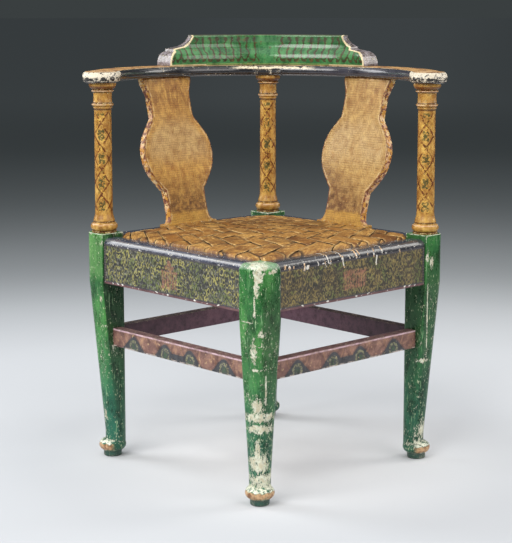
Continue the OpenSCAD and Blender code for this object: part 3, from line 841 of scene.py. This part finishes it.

# %% [markdown]
# ## The stretchers
#
# Dark bell-shaped mounds with small sprays of leaves stand on a mottled
# terracotta ground, two on each side of the middle, and a low saddle joins the
# inner two. The distance from the middle is folded, so one formula draws both
# ends. A lilac line runs along the upper arris, painted line and painted highlight
# in one, and the inner faces are plain aubergine.


# %% Stretcher paint
def wire_stretcher(place):
    x, y, z = split(place)
    side = use(side_plan, Place=place)
    wobble = jitter(0.006, place, 60, 3)
    span = abs(side["Along"] + wobble)
    rise = (z - STRETCHER_LOW) / (STRETCHER_TOP - STRETCHER_LOW)
    centre = span - 0.034 - (1 - calc("LESS_THAN", span, 0.078)) * 0.089
    # a bell: round on top, flaring out to the lower edge
    bell = smooth(1.0, 0.0, least(abs(centre) / 0.037, 1.0)) * 0.8
    skyline = rise + wobble * 8 - most(bell, smooth(0.07, 0.02, span) * 0.4)
    mound = smooth(0.03, -0.03, skyline)
    # a sprig inside each mound: a ring of pale seeds round a green heart
    drop = (rise - 0.2) * 0.026
    radius = calc("SQRT", centre * centre * 0.7 + drop * drop)
    beads = patches(0.42, 0.54, place, 300, 2)
    arch = calc("SQRT", centre * centre + (rise - 1) * (rise - 1) * 0.001) - 0.026
    wear = noise(join(side["Along"] * 0.6, z * 0.6, 1.0), 90, 4, 0.7)
    # the lilac line is painted line and painted highlight in one
    lilac = line(z - 0.246, 0.0015, 0.0007) * (0.45 + smooth(0.42, 0.52, wear) * 0.55)
    low_line = line(z - STRETCHER_LOW - 0.001, 0.001, 0.0006) * smooth(0.5, 0.56, wear)
    # the upper faces, dark on the back stretchers, and the inner ones
    top = smooth(0.24735, 0.24745, z)
    upper = mix(noise(place, 50, 2), (96, 66, 70), (150, 116, 118))
    upper = coats(upper, (calc("GREATER_THAN", y, 0) * 0.75, 48, 38, 42))
    hidden = smooth(0.2045, 0.2035, side["Out"]) * (1 - top)
    aubergine = mix(noise(place, 22, 3), (130, 90, 104), (92, 62, 80))
    aubergine = coats(aubergine, (smooth(0.06, 0.25, abs(x)) * 0.7, 58, 38, 48))
    face = coats(
        mix(patches(0.35, 0.65, place, 55, 4, 0.65), (116, 84, 78), (146, 110, 97)),
        (patches(0.55, 0.66, place, 85, 3, 0.6) * 0.6, 174, 136, 108),
        (mound, mix(noise(place, 90, 3), (52, 54, 60), (82, 82, 86))),
        (line(skyline - 0.05, 0.05, 0.03) * 0.45, 92, 70, 68),
        (line(radius - 0.0082, 0.002, 0.001) * beads * mound * 0.75, 150, 148, 112),
        (line(radius, 0.005, 0.002) * beads * mound * 0.75, 72, 98, 68),
        (line(arch, 0.0016, 0.001) * (1 - mound) * 0.35, 176, 136, 100),
        (patches(0.71, 0.73, place, 170, 1) * 0.6, 212, 182, 136),
        (lilac * 0.85, 220, 190, 200), (low_line * 0.8, 206, 192, 184), (top, upper), (hidden, aubergine),
    )
    edge = least(abs(z - STRETCHER_TOP), abs(z - STRETCHER_LOW))
    return aged(face, place, (214, 196, 176), edge, wear=-0.04 - hidden * 0.06)


stretcher_paint = finish("stretcher paint", wire_stretcher)
repaint(stretcher_paint, *(side + "_stretcher" for side in SIDES))

# %% [markdown]
# ## The arms
#
# The bow of the arms is ochre on top and slate round its edge, polished by hands
# so that long highlights run along it. At the two paddles the paint is almost all
# gone from the rim, which shows white with dark scraps.

# %% Arm paint
ARM_VOXEL = 0.0015


def wire_arm(place):
    x, y, z = split(place)
    upwards = split(facing(place))[2]
    top = smooth(0.86, 0.95, upwards)
    under = smooth(-0.5, -0.75, upwards)
    streak = noise(drawn(place, 3), 55, 4, 0.65)
    # slate, painted lighter on the right arm as a painted reflection, and brown underneath
    slate = coats(
        mix(streak, (26, 27, 30), (52, 54, 60)), (smooth(0.02, 0.14, x), 62, 62, 72), (under, 52, 34, 26),
    )
    ochre = coats(
        mix(patches(0.38, 0.62, place, 50, 4, 0.65), (138, 92, 44), (196, 150, 84)),
        (smooth(0.05, 0.0, y) * patches(0.45, 0.6, place, 35, 3) * 0.7, 206, 172, 130),
    )
    paint = use(mottled, Colour=mix(top, slate, ochre), Place=place, Size=0.02, Amount=0.8)
    terminal = smooth(0.04, 0.026, y) * smooth(-0.9, -0.4, upwards)
    worn = use(
        flaked, Paint=paint["Colour"], Ground=(240, 230, 208), Place=drawn(place, 1.1),
        Edge=read(place, "edge"), Wear=terminal * (1 - top * 0.85) * 0.26 - 0.04 - top * 0.03, Size=0.011,
    )
    # dark scraps hang on along the lower half of the paddles' rims
    ragged = jitter(0.016, place, 70, 4, 0.75)
    scraps = line(z - ARM_UNDER - 0.0075 + ragged, 0.0034, 0.0006) * patches(0.44, 0.48, place, 115, 4, 0.7)
    rubbed = noise(place, 55, 4, 0.7)
    upper_edge = line(upwards - 0.88, 0.05, 0.03) * smooth(0.4, 0.5, rubbed)
    # hands have worn the middle of the inner edge down to its cream ground
    inside = calc("LESS_THAN", hypot(x, y), 0.29) * calc("GREATER_THAN", y, 0.1)
    bare_middle = smooth(0.09, 0.06, abs(x - 0.01)) * inside * (1 - top)
    bare_middle = bare_middle * line(z - 0.718 + (rubbed - 0.5) * 0.012, 0.0022, 0.0008)
    crazing = node("TexVoronoi", {"Vector": place, "Scale": 130.0}, feature="DISTANCE_TO_EDGE")
    colour = coats(
        worn["Colour"], (scraps * terminal * (1 - top), 28, 23, 18), (upper_edge * 0.85, 226, 208, 174),
        (bare_middle * patches(0.36, 0.46, place, 130, 3, 0.7), 236, 222, 190),
        (smooth(0.02, 0.0, crazing) * (1 - top) * 0.15, 120, 118, 116),
    )
    rough = 0.13 + top * 0.3 + worn["Bare"] * 0.35 + streak * 0.08
    # the edge is rounded over, which catches the lamps in one long line
    from_middle = z - 0.7115
    rounding = from_middle * from_middle * (1 - top) * (1 - under) * -90000
    return colour, rough, worn["Height"] + noise(place, 150, 3) * 0.3 + rounding


def above_the_underside(edge):
    return min(v.co.z for v in edge.verts) > ARM_UNDER - TOUCHING


arm_paint = finish("arm paint", wire_arm, Specular_IOR_Level=0.9)
for solid in ("left_arm", "right_arm"):
    piece = soften(solid + "_wood", merged_copy(solid), ARM_VOXEL, angle=14, test=above_the_underside)
    dress(piece, arm_paint, "slate_paint", solid)

# %% [markdown]
# ## The crest
#
# A row of long loops stands on small feet along the crest's hollow face, green
# left showing between dark strokes, with one plain oval in the middle. The
# strokes are laid out by the distance along the bow from that middle, so the two
# halves mirror each other. A cream line follows the scrolled ends.

# %% Crest paint
STROKE_PITCH = 0.0155
ENDS_FROM = 0.14
CREST_VOXEL = 0.0014


def wire_crest(place):
    x, y, z = split(place)
    up = z - ARM_TOP
    run = abs(calc("ARCTAN2", x, y)) * POST_RADIUS
    wave = jitter(0.017, join(x * 0.7, y * 0.7, z * 1.4), 60, 2)
    lean = calc("SINE", up * 85) * 0.0026
    cell = run - 0.0275 + wave + lean + STROKE_PITCH / 2
    cell = calc("WRAP", cell, STROKE_PITCH, 0.0) - STROKE_PITCH / 2
    aside = abs(cell)
    # each loop: a stem that parts into two feet with curls, and a blot at its head
    waist = ARM_TOP + 0.018
    thick = noise(place, 85, 2) * 0.0022
    stem = line(aside - thick * 0.3, 0.0012 + thick * 0.4, 0.0007)
    stem = stem * smooth(waist - 0.002, waist, z) * smooth(CREST_TOP - 0.002, CREST_TOP - 0.007, z)
    feet = line(aside - (waist - z) * 0.62, 0.0015, 0.0007)
    feet = feet * smooth(waist, waist - 0.001, z) * smooth(ARM_TOP + 0.007, ARM_TOP + 0.009, z)
    curls = line(hypot(aside - 0.0066, up - 0.0095) - 0.0018, 0.0012, 0.0006)
    blots = line(cell, 0.0036, 0.0018) * line(z - (CREST_TOP - 0.009), 0.0035, 0.0014)
    outside = smooth(0.018, 0.0185, run)
    strokes = least((stem + feet + curls + blots * 0.8) * outside, 1.0)
    strokes = strokes * patches(0.24, 0.4, place, 150, 3, 0.7)
    inner_face = smooth(POST_RADIUS, POST_RADIUS - 0.002, hypot(x, y))
    # the end faces are bare grey-brown wood inside a cream outline
    grey = mix(patches(0.35, 0.65, place, 80, 4, 0.7), (84, 70, 64), (150, 142, 148))
    outline = line(read(place, "end_rim") + wave * 0.1, 0.0024, 0.0007) * patches(0.24, 0.36, place, 140, 2)
    painted = coats(
        mix(patches(0.36, 0.62, drawn(place, 0.3), 70, 4, 0.65), (44, 104, 58), (78, 140, 84)),
        (smooth(0.013, 0.005, aside) * 0.25 * outside, 48, 84, 44), (strokes * inner_face * 0.9, 70, 52, 34),
        (patches(0.58, 0.64, place, 120, 3, 0.7) * inner_face * 0.5, 104, 84, 50),
        (line(up - 0.0022, 0.0012, 0.0006) * inner_face * 0.5, 150, 160, 90),
        (smooth(CREST_TOP - 0.0022, CREST_TOP - 0.001, z) * 0.85, 70, 64, 42),
        (smooth(0.4, 0.6, read(place, "end_face")), grey), (outline * 0.95, 232, 214, 172),
    )
    return aged(
        painted, place, (228, 220, 190), wear=-0.04, clouds=0.02, flakes=0.008,
        amount=0.8, rough=0.19, bare_rough=0.3, grain=160, depth=0.15,
    )


def faces_radially(part, middle):
    """Whether a face or vertex looks towards the bow's middle or away, as the crest's long faces do."""
    outward = Vector((middle.x, middle.y, 0)).normalized()
    return abs(part.normal.dot(outward)) > 0.5


def is_at_an_end(spot):
    return abs(math.atan2(spot.x, spot.y)) * POST_RADIUS > ENDS_FROM


def is_end_rim(edge):
    """An edge of the crest's painted front where it meets a scrolled end."""
    a, b = (v.co for v in edge.verts)
    middle = (a + b) / 2
    in_front = math.hypot(middle.x, middle.y) < POST_RADIUS
    flat_top = min(a.z, b.z) > CREST_TOP - TOUCHING
    long_faces = sum(faces_radially(face, middle) for face in edge.link_faces)
    return is_at_an_end(middle) and in_front and not flat_top and long_faces == 1


def is_end_face(v):
    return float(is_at_an_end(v.co) and v.co.z < CREST_TOP - TOUCHING and not faces_radially(v, v.co))


shape = merged_copy("crest")
shape.normal_update()
rims = sharp_points(shape, angle=25, step=0.001, test=is_end_rim)
crest = soften("crest_wood", shape, CREST_VOXEL, angle=30)
mark_distance(crest.data, "end_rim", rims)
flags = crest.data.attributes.new("end_face", "FLOAT", "POINT")
flags.data.foreach_set("value", [is_end_face(v) for v in crest.data.vertices])
dress(crest, finish("crest paint", wire_crest, Specular_IOR_Level=0.8), "crest_paint", "crest")
print("crest rim points", len(rims))

# %% [markdown]
# ## The splats and their shoes
#
# The splats are ochre dragged with brown, with the fine grid of old canvas-like
# crazing, darker towards the waist, partly dirt and partly painted shade. Their
# edges are painted separately: cream and pink, with small brown and ochre marks
# along the corner.

# %% Splat paint
SPLAT_VOXEL = 0.0014
SHOE_VOXEL = 0.0011


def crazing(place, distance, half_width, *broken):
    """Fine parallel lines, a little wavy, that noise breaks up."""
    wavy = jitter(0.004, place, 45, 2)
    return line(wrap(distance + wavy, 0.0022), half_width, 0.0006) * patches(*broken)


def wire_splat(place):
    x, _, z = split(place)
    side = use(side_plan, Place=place)
    along = side["Along"]
    right = calc("GREATER_THAN", x, 0)
    nx, ny, _ = split(facing(place))
    nu = (nx + ny) * DIAGONAL
    nv = (ny - nx) * DIAGONAL
    rim = smooth(0.55, 0.75, abs(calc("MULTIPLY_ADD", side["Turned"], nv - nu, nu)))
    edge = read(place, "edge")
    drag = noise(drawn(place, 0.15), 120, 4, 0.7)
    dragged = smooth(0.34, 0.66, drag)
    # the belly is paler and greyer where it was rubbed, and its rim more golden
    belly = smooth(0.06, 0.01, abs(z - 0.58 + jitter(0.03, place, 25, 3)))
    belly = belly * smooth(0.004, 0.02, edge)
    # the waist is darker brown: partly dirt, partly painted shade
    waist = smooth(0.53, 0.455, z + jitter(0.04, place, 40, 3) - along * right * 0.5)
    waist = waist * (0.45 + patches(0.35, 0.6, place, 110, 3, 0.7) * 0.55)
    foot = smooth(0.449, 0.44, z + jitter(0.01, place, 90, 3))
    neck = smooth(0.615, 0.66, z) * patches(0.4, 0.6, drawn(place, 0.2), 90, 3, 0.65)
    level = crazing(place, z, 0.001, 0.4, 0.56, place, 95, 3)
    threads = most(level, crazing(place, along, 0.0009, 0.42, 0.58, place, 80, 3))
    # painted edges, with marks that gather at the corner
    marks = smooth(0.52, 0.57, noise(place, 130, 2) + smooth(0.004, 0.0, edge) * 0.06)
    bright = coats(
        mix(patches(0.4, 0.6, scaled(place, 0.5, 0.5, 1), 120, 2), (216, 166, 128), (234, 200, 142)),
        (patches(0.47, 0.54, place, 95, 2), 206, 148, 60), (marks * 0.9, 112, 50, 32),
    )
    border = line(edge - 0.0014, 0.0013, 0.0006) * (1 - rim)
    halo = line(edge - 0.004, 0.0012, 0.0006) * (1 - rim) * patches(0.45, 0.55, place, 60, 2)
    face = coats(
        mix(
            right, mix(dragged, (210, 164, 82), (186, 136, 66)),
            mix(dragged, (198, 162, 100), (176, 138, 80)),
        ),
        (belly * 0.75, mix(right, (196, 163, 111), (197, 166, 118))),
        (patches(0.46, 0.64, place, 22, 4, 0.6) * 0.35, mix(right, (160, 116, 58), (194, 154, 90))),
        (waist * 0.85, mix(right, (92, 58, 32), (100, 58, 30))),
        (patches(0.62, 0.68, place, 150, 3, 0.7) * waist * 0.7, 216, 166, 88), (foot * 0.75, 200, 154, 68),
        (neck * 0.55, mix(right, (120, 66, 28), (160, 112, 60))),
        (threads * 0.3, 84, 52, 26), (rim, bright),
        (border * (0.15 + patches(0.46, 0.54, place, 190, 1) * 0.65), 112, 50, 34),
        (halo * 0.45, 232, 204, 156),
    )
    return aged(
        face, place, (232, 208, 168), edge, wear=-0.035, clouds=0.014, flakes=0.006, amount=0.8,
        rough=0.46, bare_rough=0.15, relief=drag * 0.3 + threads * -0.4,
    )


def wire_shoe(place):
    base = mix(noise(place, 60, 4, 0.6), (196, 150, 62), (150, 98, 42))
    return aged(base, place, (232, 208, 160), flakes=0.006)


splat_paint = finish("splat paint", wire_splat, relief=0.0003, Specular_IOR_Level=0.4)
shoe_paint = finish("shoe paint", wire_shoe, Specular_IOR_Level=0.4)
for kind, ending, voxel, paint in (
    ("_splat", "_board", SPLAT_VOXEL, splat_paint), ("_shoe", "_wood", SHOE_VOXEL, shoe_paint),
):
    for solid in ("left" + kind, "right" + kind):
        dress(soften(solid + ending, merged_copy(solid), voxel), paint, "ochre_paint", solid)

# %% [markdown]
# ## The woven seat
#
# The seat is woven of broad, tapering splints of split leaf. Two families of
# them fan out from behind the back corners and cross each other, over two and
# under two, and every splint is folded down over the edge of the loose frame.
# Each splint is a narrow grid of faces between two rays of its fan. Every vertex
# gets its height in the weave from how the two fans cross there, and whatever
# reaches past the edge is folded down.


# %% Splint finish
def wire_splint(place):
    shade, across, run, dip = (read(place, name) for name in ("shade", "across", "run", "dip"))
    fibre = noise(join(across * 2.2, run * 8, shade * 40), 7, 4, 0.72)
    off_middle = abs(across - 0.5)
    # pale torn rims that are also painted highlights, brighter in some places than in others, and painted
    # shade in a dark hair along the cut
    here = patches(0.4, 0.6, place, 17, 3, 0.6)
    rim = smooth(0.38, 0.49, off_middle) * smooth(0.38, 0.56, fibre) * (0.25 + here * 0.75)
    cut = smooth(0.465, 0.5, off_middle) * smooth(0.54, 0.46, fibre)
    # painted shade wherever a splint dives under the next, wider in some places and towards the back
    towards_back = smooth(-0.15, 0.2, split(place)[1])
    dive_shade = smooth(0.1, 0.4, dip - noise(place, 24, 2) * 0.75 + 0.35 + towards_back * 0.12)
    colour = coats(
        mix(shade, (148, 98, 36), (218, 172, 92)), (smooth(0.35, 0.65, fibre), 132, 84, 32),
        (patches(0.47, 0.64, join(across * 0.8, run * 34, shade * 13), 1.5, 4, 0.6) * 0.75, 98, 57, 22),
        (patches(0.6, 0.68, join(across * 3, run * 30, shade * 7), 3, 3) * 0.75, 234, 194, 120),
        # the rims are torn fibre and painted highlight, the cut's dark hair is painted shade
        (rim, 234, 198, 132), (cut, 58, 34, 16), (patches(0.5, 0.62, place, 17, 4, 0.6) * 0.6, 98, 58, 20),
        (dive_shade * 0.85, 46, 27, 12),
    )
    return colour, 0.36 + fibre * 0.25, fibre


splint = finish("split leaf", wire_splint, relief=0.0006, Specular_IOR_Level=0.4)

# %% Weaving
SEAT_HALF = 0.197
SEAT_CUT = 0.2601
SEAT_EDGE = 0.4195
DOME = 0.0042
BEND = 0.006
FIRST, LAST = -8, 35
UNEVEN = 0.15
# the smaller the dive, the longer a splint stays level before it goes under
DIVE, FULL_HEIGHT = 0.06, 1.03


class Fan:
    """A family of splints between rays from one focus, numbered from the ray nearest its own side."""

    def __init__(self, sign, chance, focus=(0.296, 0.437), step=0.058, middle=11.3):
        self.sign = sign
        self.focus = Vector((sign * focus[0], focus[1]))
        self.step = step
        self.middle = middle
        self.zero = math.atan2(-self.focus.y, -self.focus.x)
        # where one splint ends and the next begins, unevenly, as they were torn
        self.bounds = [i + chance.uniform(-UNEVEN, UNEVEN) for i in range(FIRST, LAST + 1)]

    def index(self, point):
        """Which splint of this fan covers a point, counted smoothly."""
        away = Vector(point) - self.focus
        turn = math.atan2(away.y, away.x) - self.zero
        turn = (turn + math.pi) % math.tau - math.pi
        count = self.middle - self.sign * turn / self.step
        i = max(0, min(len(self.bounds) - 2, bisect(self.bounds, count) - 1))
        low, high = self.bounds[i], self.bounds[i + 1]
        return i + FIRST + (count - low) / (high - low)

    def point(self, number, share, reach):
        """The place a share of the way across a splint, some way from the focus."""
        low, high = self.bounds[number - FIRST], self.bounds[number - FIRST + 1]
        turn = self.zero - self.sign * (low + (high - low) * share - self.middle) * self.step
        return self.focus + Vector((math.cos(turn), math.sin(turn))) * reach


def height_in_weave(i, j):
    """How far a splint lies above (1) or below (-1) the middle of the weave, over two and under two."""
    wave = math.sin(math.pi / 2 * (i + j))
    return wave / math.sqrt(wave * wave + DIVE) * FULL_HEIGHT


def past_edge(x, y):
    """How far a point lies past the nearest of the seat's eight edges, and that edge's outward normal."""
    u, v = (x + y) * DIAGONAL, (y - x) * DIAGONAL
    return max([
        (u - SEAT_HALF, (DIAGONAL, DIAGONAL)), (-u - SEAT_HALF, (-DIAGONAL, -DIAGONAL)),
        (v - SEAT_HALF, (-DIAGONAL, DIAGONAL)), (-v - SEAT_HALF, (DIAGONAL, -DIAGONAL)),
        (x - SEAT_CUT, (1, 0)), (-x - SEAT_CUT, (-1, 0)), (y - SEAT_CUT, (0, 1)), (-y - SEAT_CUT, (0, -1)),
    ])


def folded(x, y, z, lowest):
    """Bends what reaches past the seat's edge down over it."""
    past, normal = past_edge(x, y)
    start = past + BEND
    if start > 0:
        turn = min(start / BEND, math.pi / 2)
        inward = start - BEND * math.sin(turn)
        x -= normal[0] * inward
        y -= normal[1] * inward
        z -= BEND * (1 - math.cos(turn)) + max(0, start - BEND * math.pi / 2)
    return x, y, max(z, lowest)


chance = random.Random(4)
fans = {1: Fan(1, chance), -1: Fan(-1, chance)}
print("fans ready", [round(f.index((0, 0)), 2) for f in fans.values()])

# %% Splints
OVERHANG = 0.016
LIFT = 0.0018
BULGE = 0.0006
LOWEST = 0.4015
THICKNESS = 0.0011
ROW = 0.0035
FEWEST_ROWS = 4
ACROSS = 8
WIDEST_GAP = 0.035
# every 2 mm along a ray, from before the seat to past it
REACHES = [r / 500 for r in range(60, 480)]
SHORTEST = 6


def splint_grid(sheet, layers, sign, number, chance):
    """Adds one splint to the sheet as a grid of faces, where it crosses the seat at all."""
    fan, other = fans[sign], fans[-sign]
    gap = chance.uniform(0.0, WIDEST_GAP)
    shade = chance.random()
    reaches = [reach for reach in REACHES if past_edge(*fan.point(number, 0.5, reach))[0] < OVERHANG]
    if len(reaches) < SHORTEST:
        return 0
    start, end = reaches[0], reaches[-1]
    rows = max(FEWEST_ROWS, int((end - start) / ROW))
    grid = []
    for row in range(rows + 1):
        reach = start + (end - start) * row / rows
        frayed = 1 + 0.03 * math.sin(reach * 61 + number) + 0.02 * math.sin(reach * 143 + number * 2)
        grid.append([])
        for column in range(ACROSS + 1):
            share = column / ACROSS
            x, y = fan.point(number, 0.5 + (share - 0.5) * (1 - 2 * gap) * frayed, reach)
            over = sign * height_in_weave(number, other.index((x, y)))
            crown = SEAT_EDGE + DOME * max(0, 1 - (x * x + y * y) / SEAT_CUT**2)
            z = crown + LIFT * over + BULGE * math.cos((share - 0.5) * math.pi)
            vertex = sheet.verts.new(folded(x, y, z, LOWEST))
            for layer, value in zip(layers, (shade, share, reach, 0.5 - over / 2)):
                vertex[layer] = value
            grid[-1].append(vertex)
    for a, b in zip(grid, grid[1:]):
        for k in range(ACROSS):
            sheet.faces.new((a[k], a[k + 1], b[k + 1], b[k]))
    return 1


sheet = bmesh.new()
layers = [sheet.verts.layers.float.new(label) for label in ("shade", "across", "run", "dip")]
numbers = range(FIRST + 1, LAST - 1)
made = sum(splint_grid(sheet, layers, sign, number, chance) for sign in fans for number in numbers)
bmesh.ops.recalc_face_normals(sheet, faces=sheet.faces)
seat = placed("woven_splints", sheet)
seat.data.shade_smooth()
thick = seat.modifiers.new("thickness", "SOLIDIFY")
thick.thickness = THICKNESS
thick.offset = 0
dress(seat, splint, "splint", "woven_seat", body="slip_seat")
print(made, "splints")

# %% [markdown]
# ## Bare wood and iron
#
# The loose seat's frame and the corner blocks were never painted. The screws
# under the crest are old iron.


# %% Bare wood and iron
def wire_wood(place):
    grain = noise(drawn(place, 6), 60, 4, 0.65)
    return mix(grain, (178, 140, 92), (120, 84, 50)), 0.62 + noise(place, 300, 2) * 0.15, grain


def wire_iron(place):
    rust = noise(place, 400, 4, 0.7)
    return mix(rust, (72, 66, 62), (118, 76, 48)), 0.5 + rust * 0.3, rust


bare_wood = finish("bare wood", wire_wood, relief=0.0003)
repaint(bare_wood, "corner_blocks", *("seat_frame_" + side for side in SIDES))
repaint(finish("old iron", wire_iron, relief=0.0002, Metallic=0.7), "crest_screws")

# %% [markdown]
# ## The studio
#
# The chair stands on a plain pale floor that falls away to grey behind it. A
# broad key lamp hangs high on the left, a weaker one fills from the right, a wide
# one hangs overhead, and a tall one on each side behind the chair draws the long
# highlights on the posts and arms. The sky is a low even grey.

# %% Studio
FAR_FLOOR = (90, 96, 97)
BACKDROP = (58, 63, 64)
FLOOR_RADIUS = 60
FLOOR_GAP = 0.0004
# the distance from the chair, in units of six metres, and how much of the pale floor is left there
FALLS = [
    (0, 1), (0.15, 0.97), (0.192, 0.88), (0.231, 0.76), (0.255, 0.678), (0.281, 0.571), (0.308, 0.473),
    (0.338, 0.378), (0.369, 0.317), (0.404, 0.275), (0.441, 0.235), (0.481, 0.19), (0.525, 0.15),
    (0.573, 0.115), (0.625, 0.085), (0.683, 0.065), (0.747, 0.048), (0.82, 0.035), (0.9, 0.018), (1, 0),
]
# place, aim, size, power and colour
LAMPS = {
    "key lamp": ((-1.8, -2.4, 2.5), (0, 0, 0.4), (3.0, 2.2), 118, (1, 0.985, 0.96)),
    "fill lamp": ((2.3, -2.0, 2.0), (0, 0, 0.4), (2.6, 2.2), 42, (1, 0.95, 0.93)),
    "top lamp": ((0, 0.4, 3.2), (0, 0, 0.3), (4.8, 4.8), 60, (1, 1, 1)),
    "left side lamp": ((-2.3, 0.8, 1.75), (0, 0, 0.6), (1.2, 1.9), 38, (0.98, 0.99, 1)),
    "right side lamp": ((2.4, 0.8, 1.6), (0, 0, 0.6), (1.1, 1.8), 26, (1, 0.97, 0.93)),
}


def wire_floor(place):
    x, y, _ = split(place)
    distance = hypot(x, y)
    # pale round the chair, then a long fall to the grey of the backdrop
    shade = node("FloatCurve", {"Value": least(distance / 6, 0.999)})
    mapping = shade.socket.node.mapping
    curve = mapping.curves[0]
    curve.points[0].location, curve.points[1].location = FALLS[0], FALLS[-1]
    for spot in FALLS[1:-1]:
        curve.points.new(*spot)
    mapping.update()
    # painted light: the near floor is paler towards the right and behind, against the key lamp's shadow
    near = mix(smooth(-0.2, 0.7, x) * smooth(-0.3, 0.5, y) * 0.4, (191, 194, 198), (226, 229, 232))
    # under the chair it is painted paler still: painted light that lifts the chair's shadow
    near = coats(near, (smooth(0.5, 0.1, hypot(x - 0.05, y - 0.02)) * 0.85, 233, 235, 237))
    # far away the grey lightens again, most behind the chair
    centre = smooth(0.15, 0.05, abs(x / (distance + 1) - 0.02))
    far = coats(FAR_FLOOR, (smooth(6.0, 11.0, distance) * (0.55 + centre * 0.45), 112, 118, 119))
    return mix(shade, far, near), 0.9, None


floor_shape = bmesh.new()
bmesh.ops.create_circle(floor_shape, cap_ends=True, segments=96, radius=FLOOR_RADIUS)
bmesh.ops.translate(floor_shape, verts=floor_shape.verts, vec=(0, 0, -FLOOR_GAP))
floor = placed("floor", floor_shape)
floor.data.materials.append(finish("studio floor", wire_floor, Specular_IOR_Level=0.0))

world = bpy.data.worlds.new("studio")
bpy.context.scene.world = world
world.use_nodes = True
sky = world.node_tree
sky.nodes.clear()
camera_ray, glossy_ray, transmission_ray = (
    node("LightPath", {}, out=f"Is {kind} Ray", tree=sky) for kind in ("Camera", "Glossy", "Transmission")
)
seen = calc("ADD", camera_ray + glossy_ray, transmission_ray, clamp=True)
ambient = node("Background", {"Color": (0.92, 0.96, 1.0, 1), "Strength": 0.3}, tree=sky)
backdrop = node("Background", {"Color": BACKDROP, "Strength": 1.0}, tree=sky)
output = sky.nodes.new("ShaderNodeOutputWorld")
plug(output.inputs[0], node("MixShader", {0: seen, 1: ambient, 2: backdrop}))

for name, (place, aim, size, power, colour) in LAMPS.items():
    light = bpy.data.lights.new(name, "AREA")
    light.shape = "RECTANGLE"
    light.size, light.size_y = size
    light.energy = power
    light.color = colour
    holder = bpy.data.objects.new(name, light)
    holder.location = place
    holder.rotation_mode = "QUATERNION"
    holder.rotation_quaternion = (Vector(aim) - Vector(place)).to_track_quat("-Z", "Y")
    bpy.context.scene.collection.objects.link(holder)
print("studio lit by", len(LAMPS), "lamps")
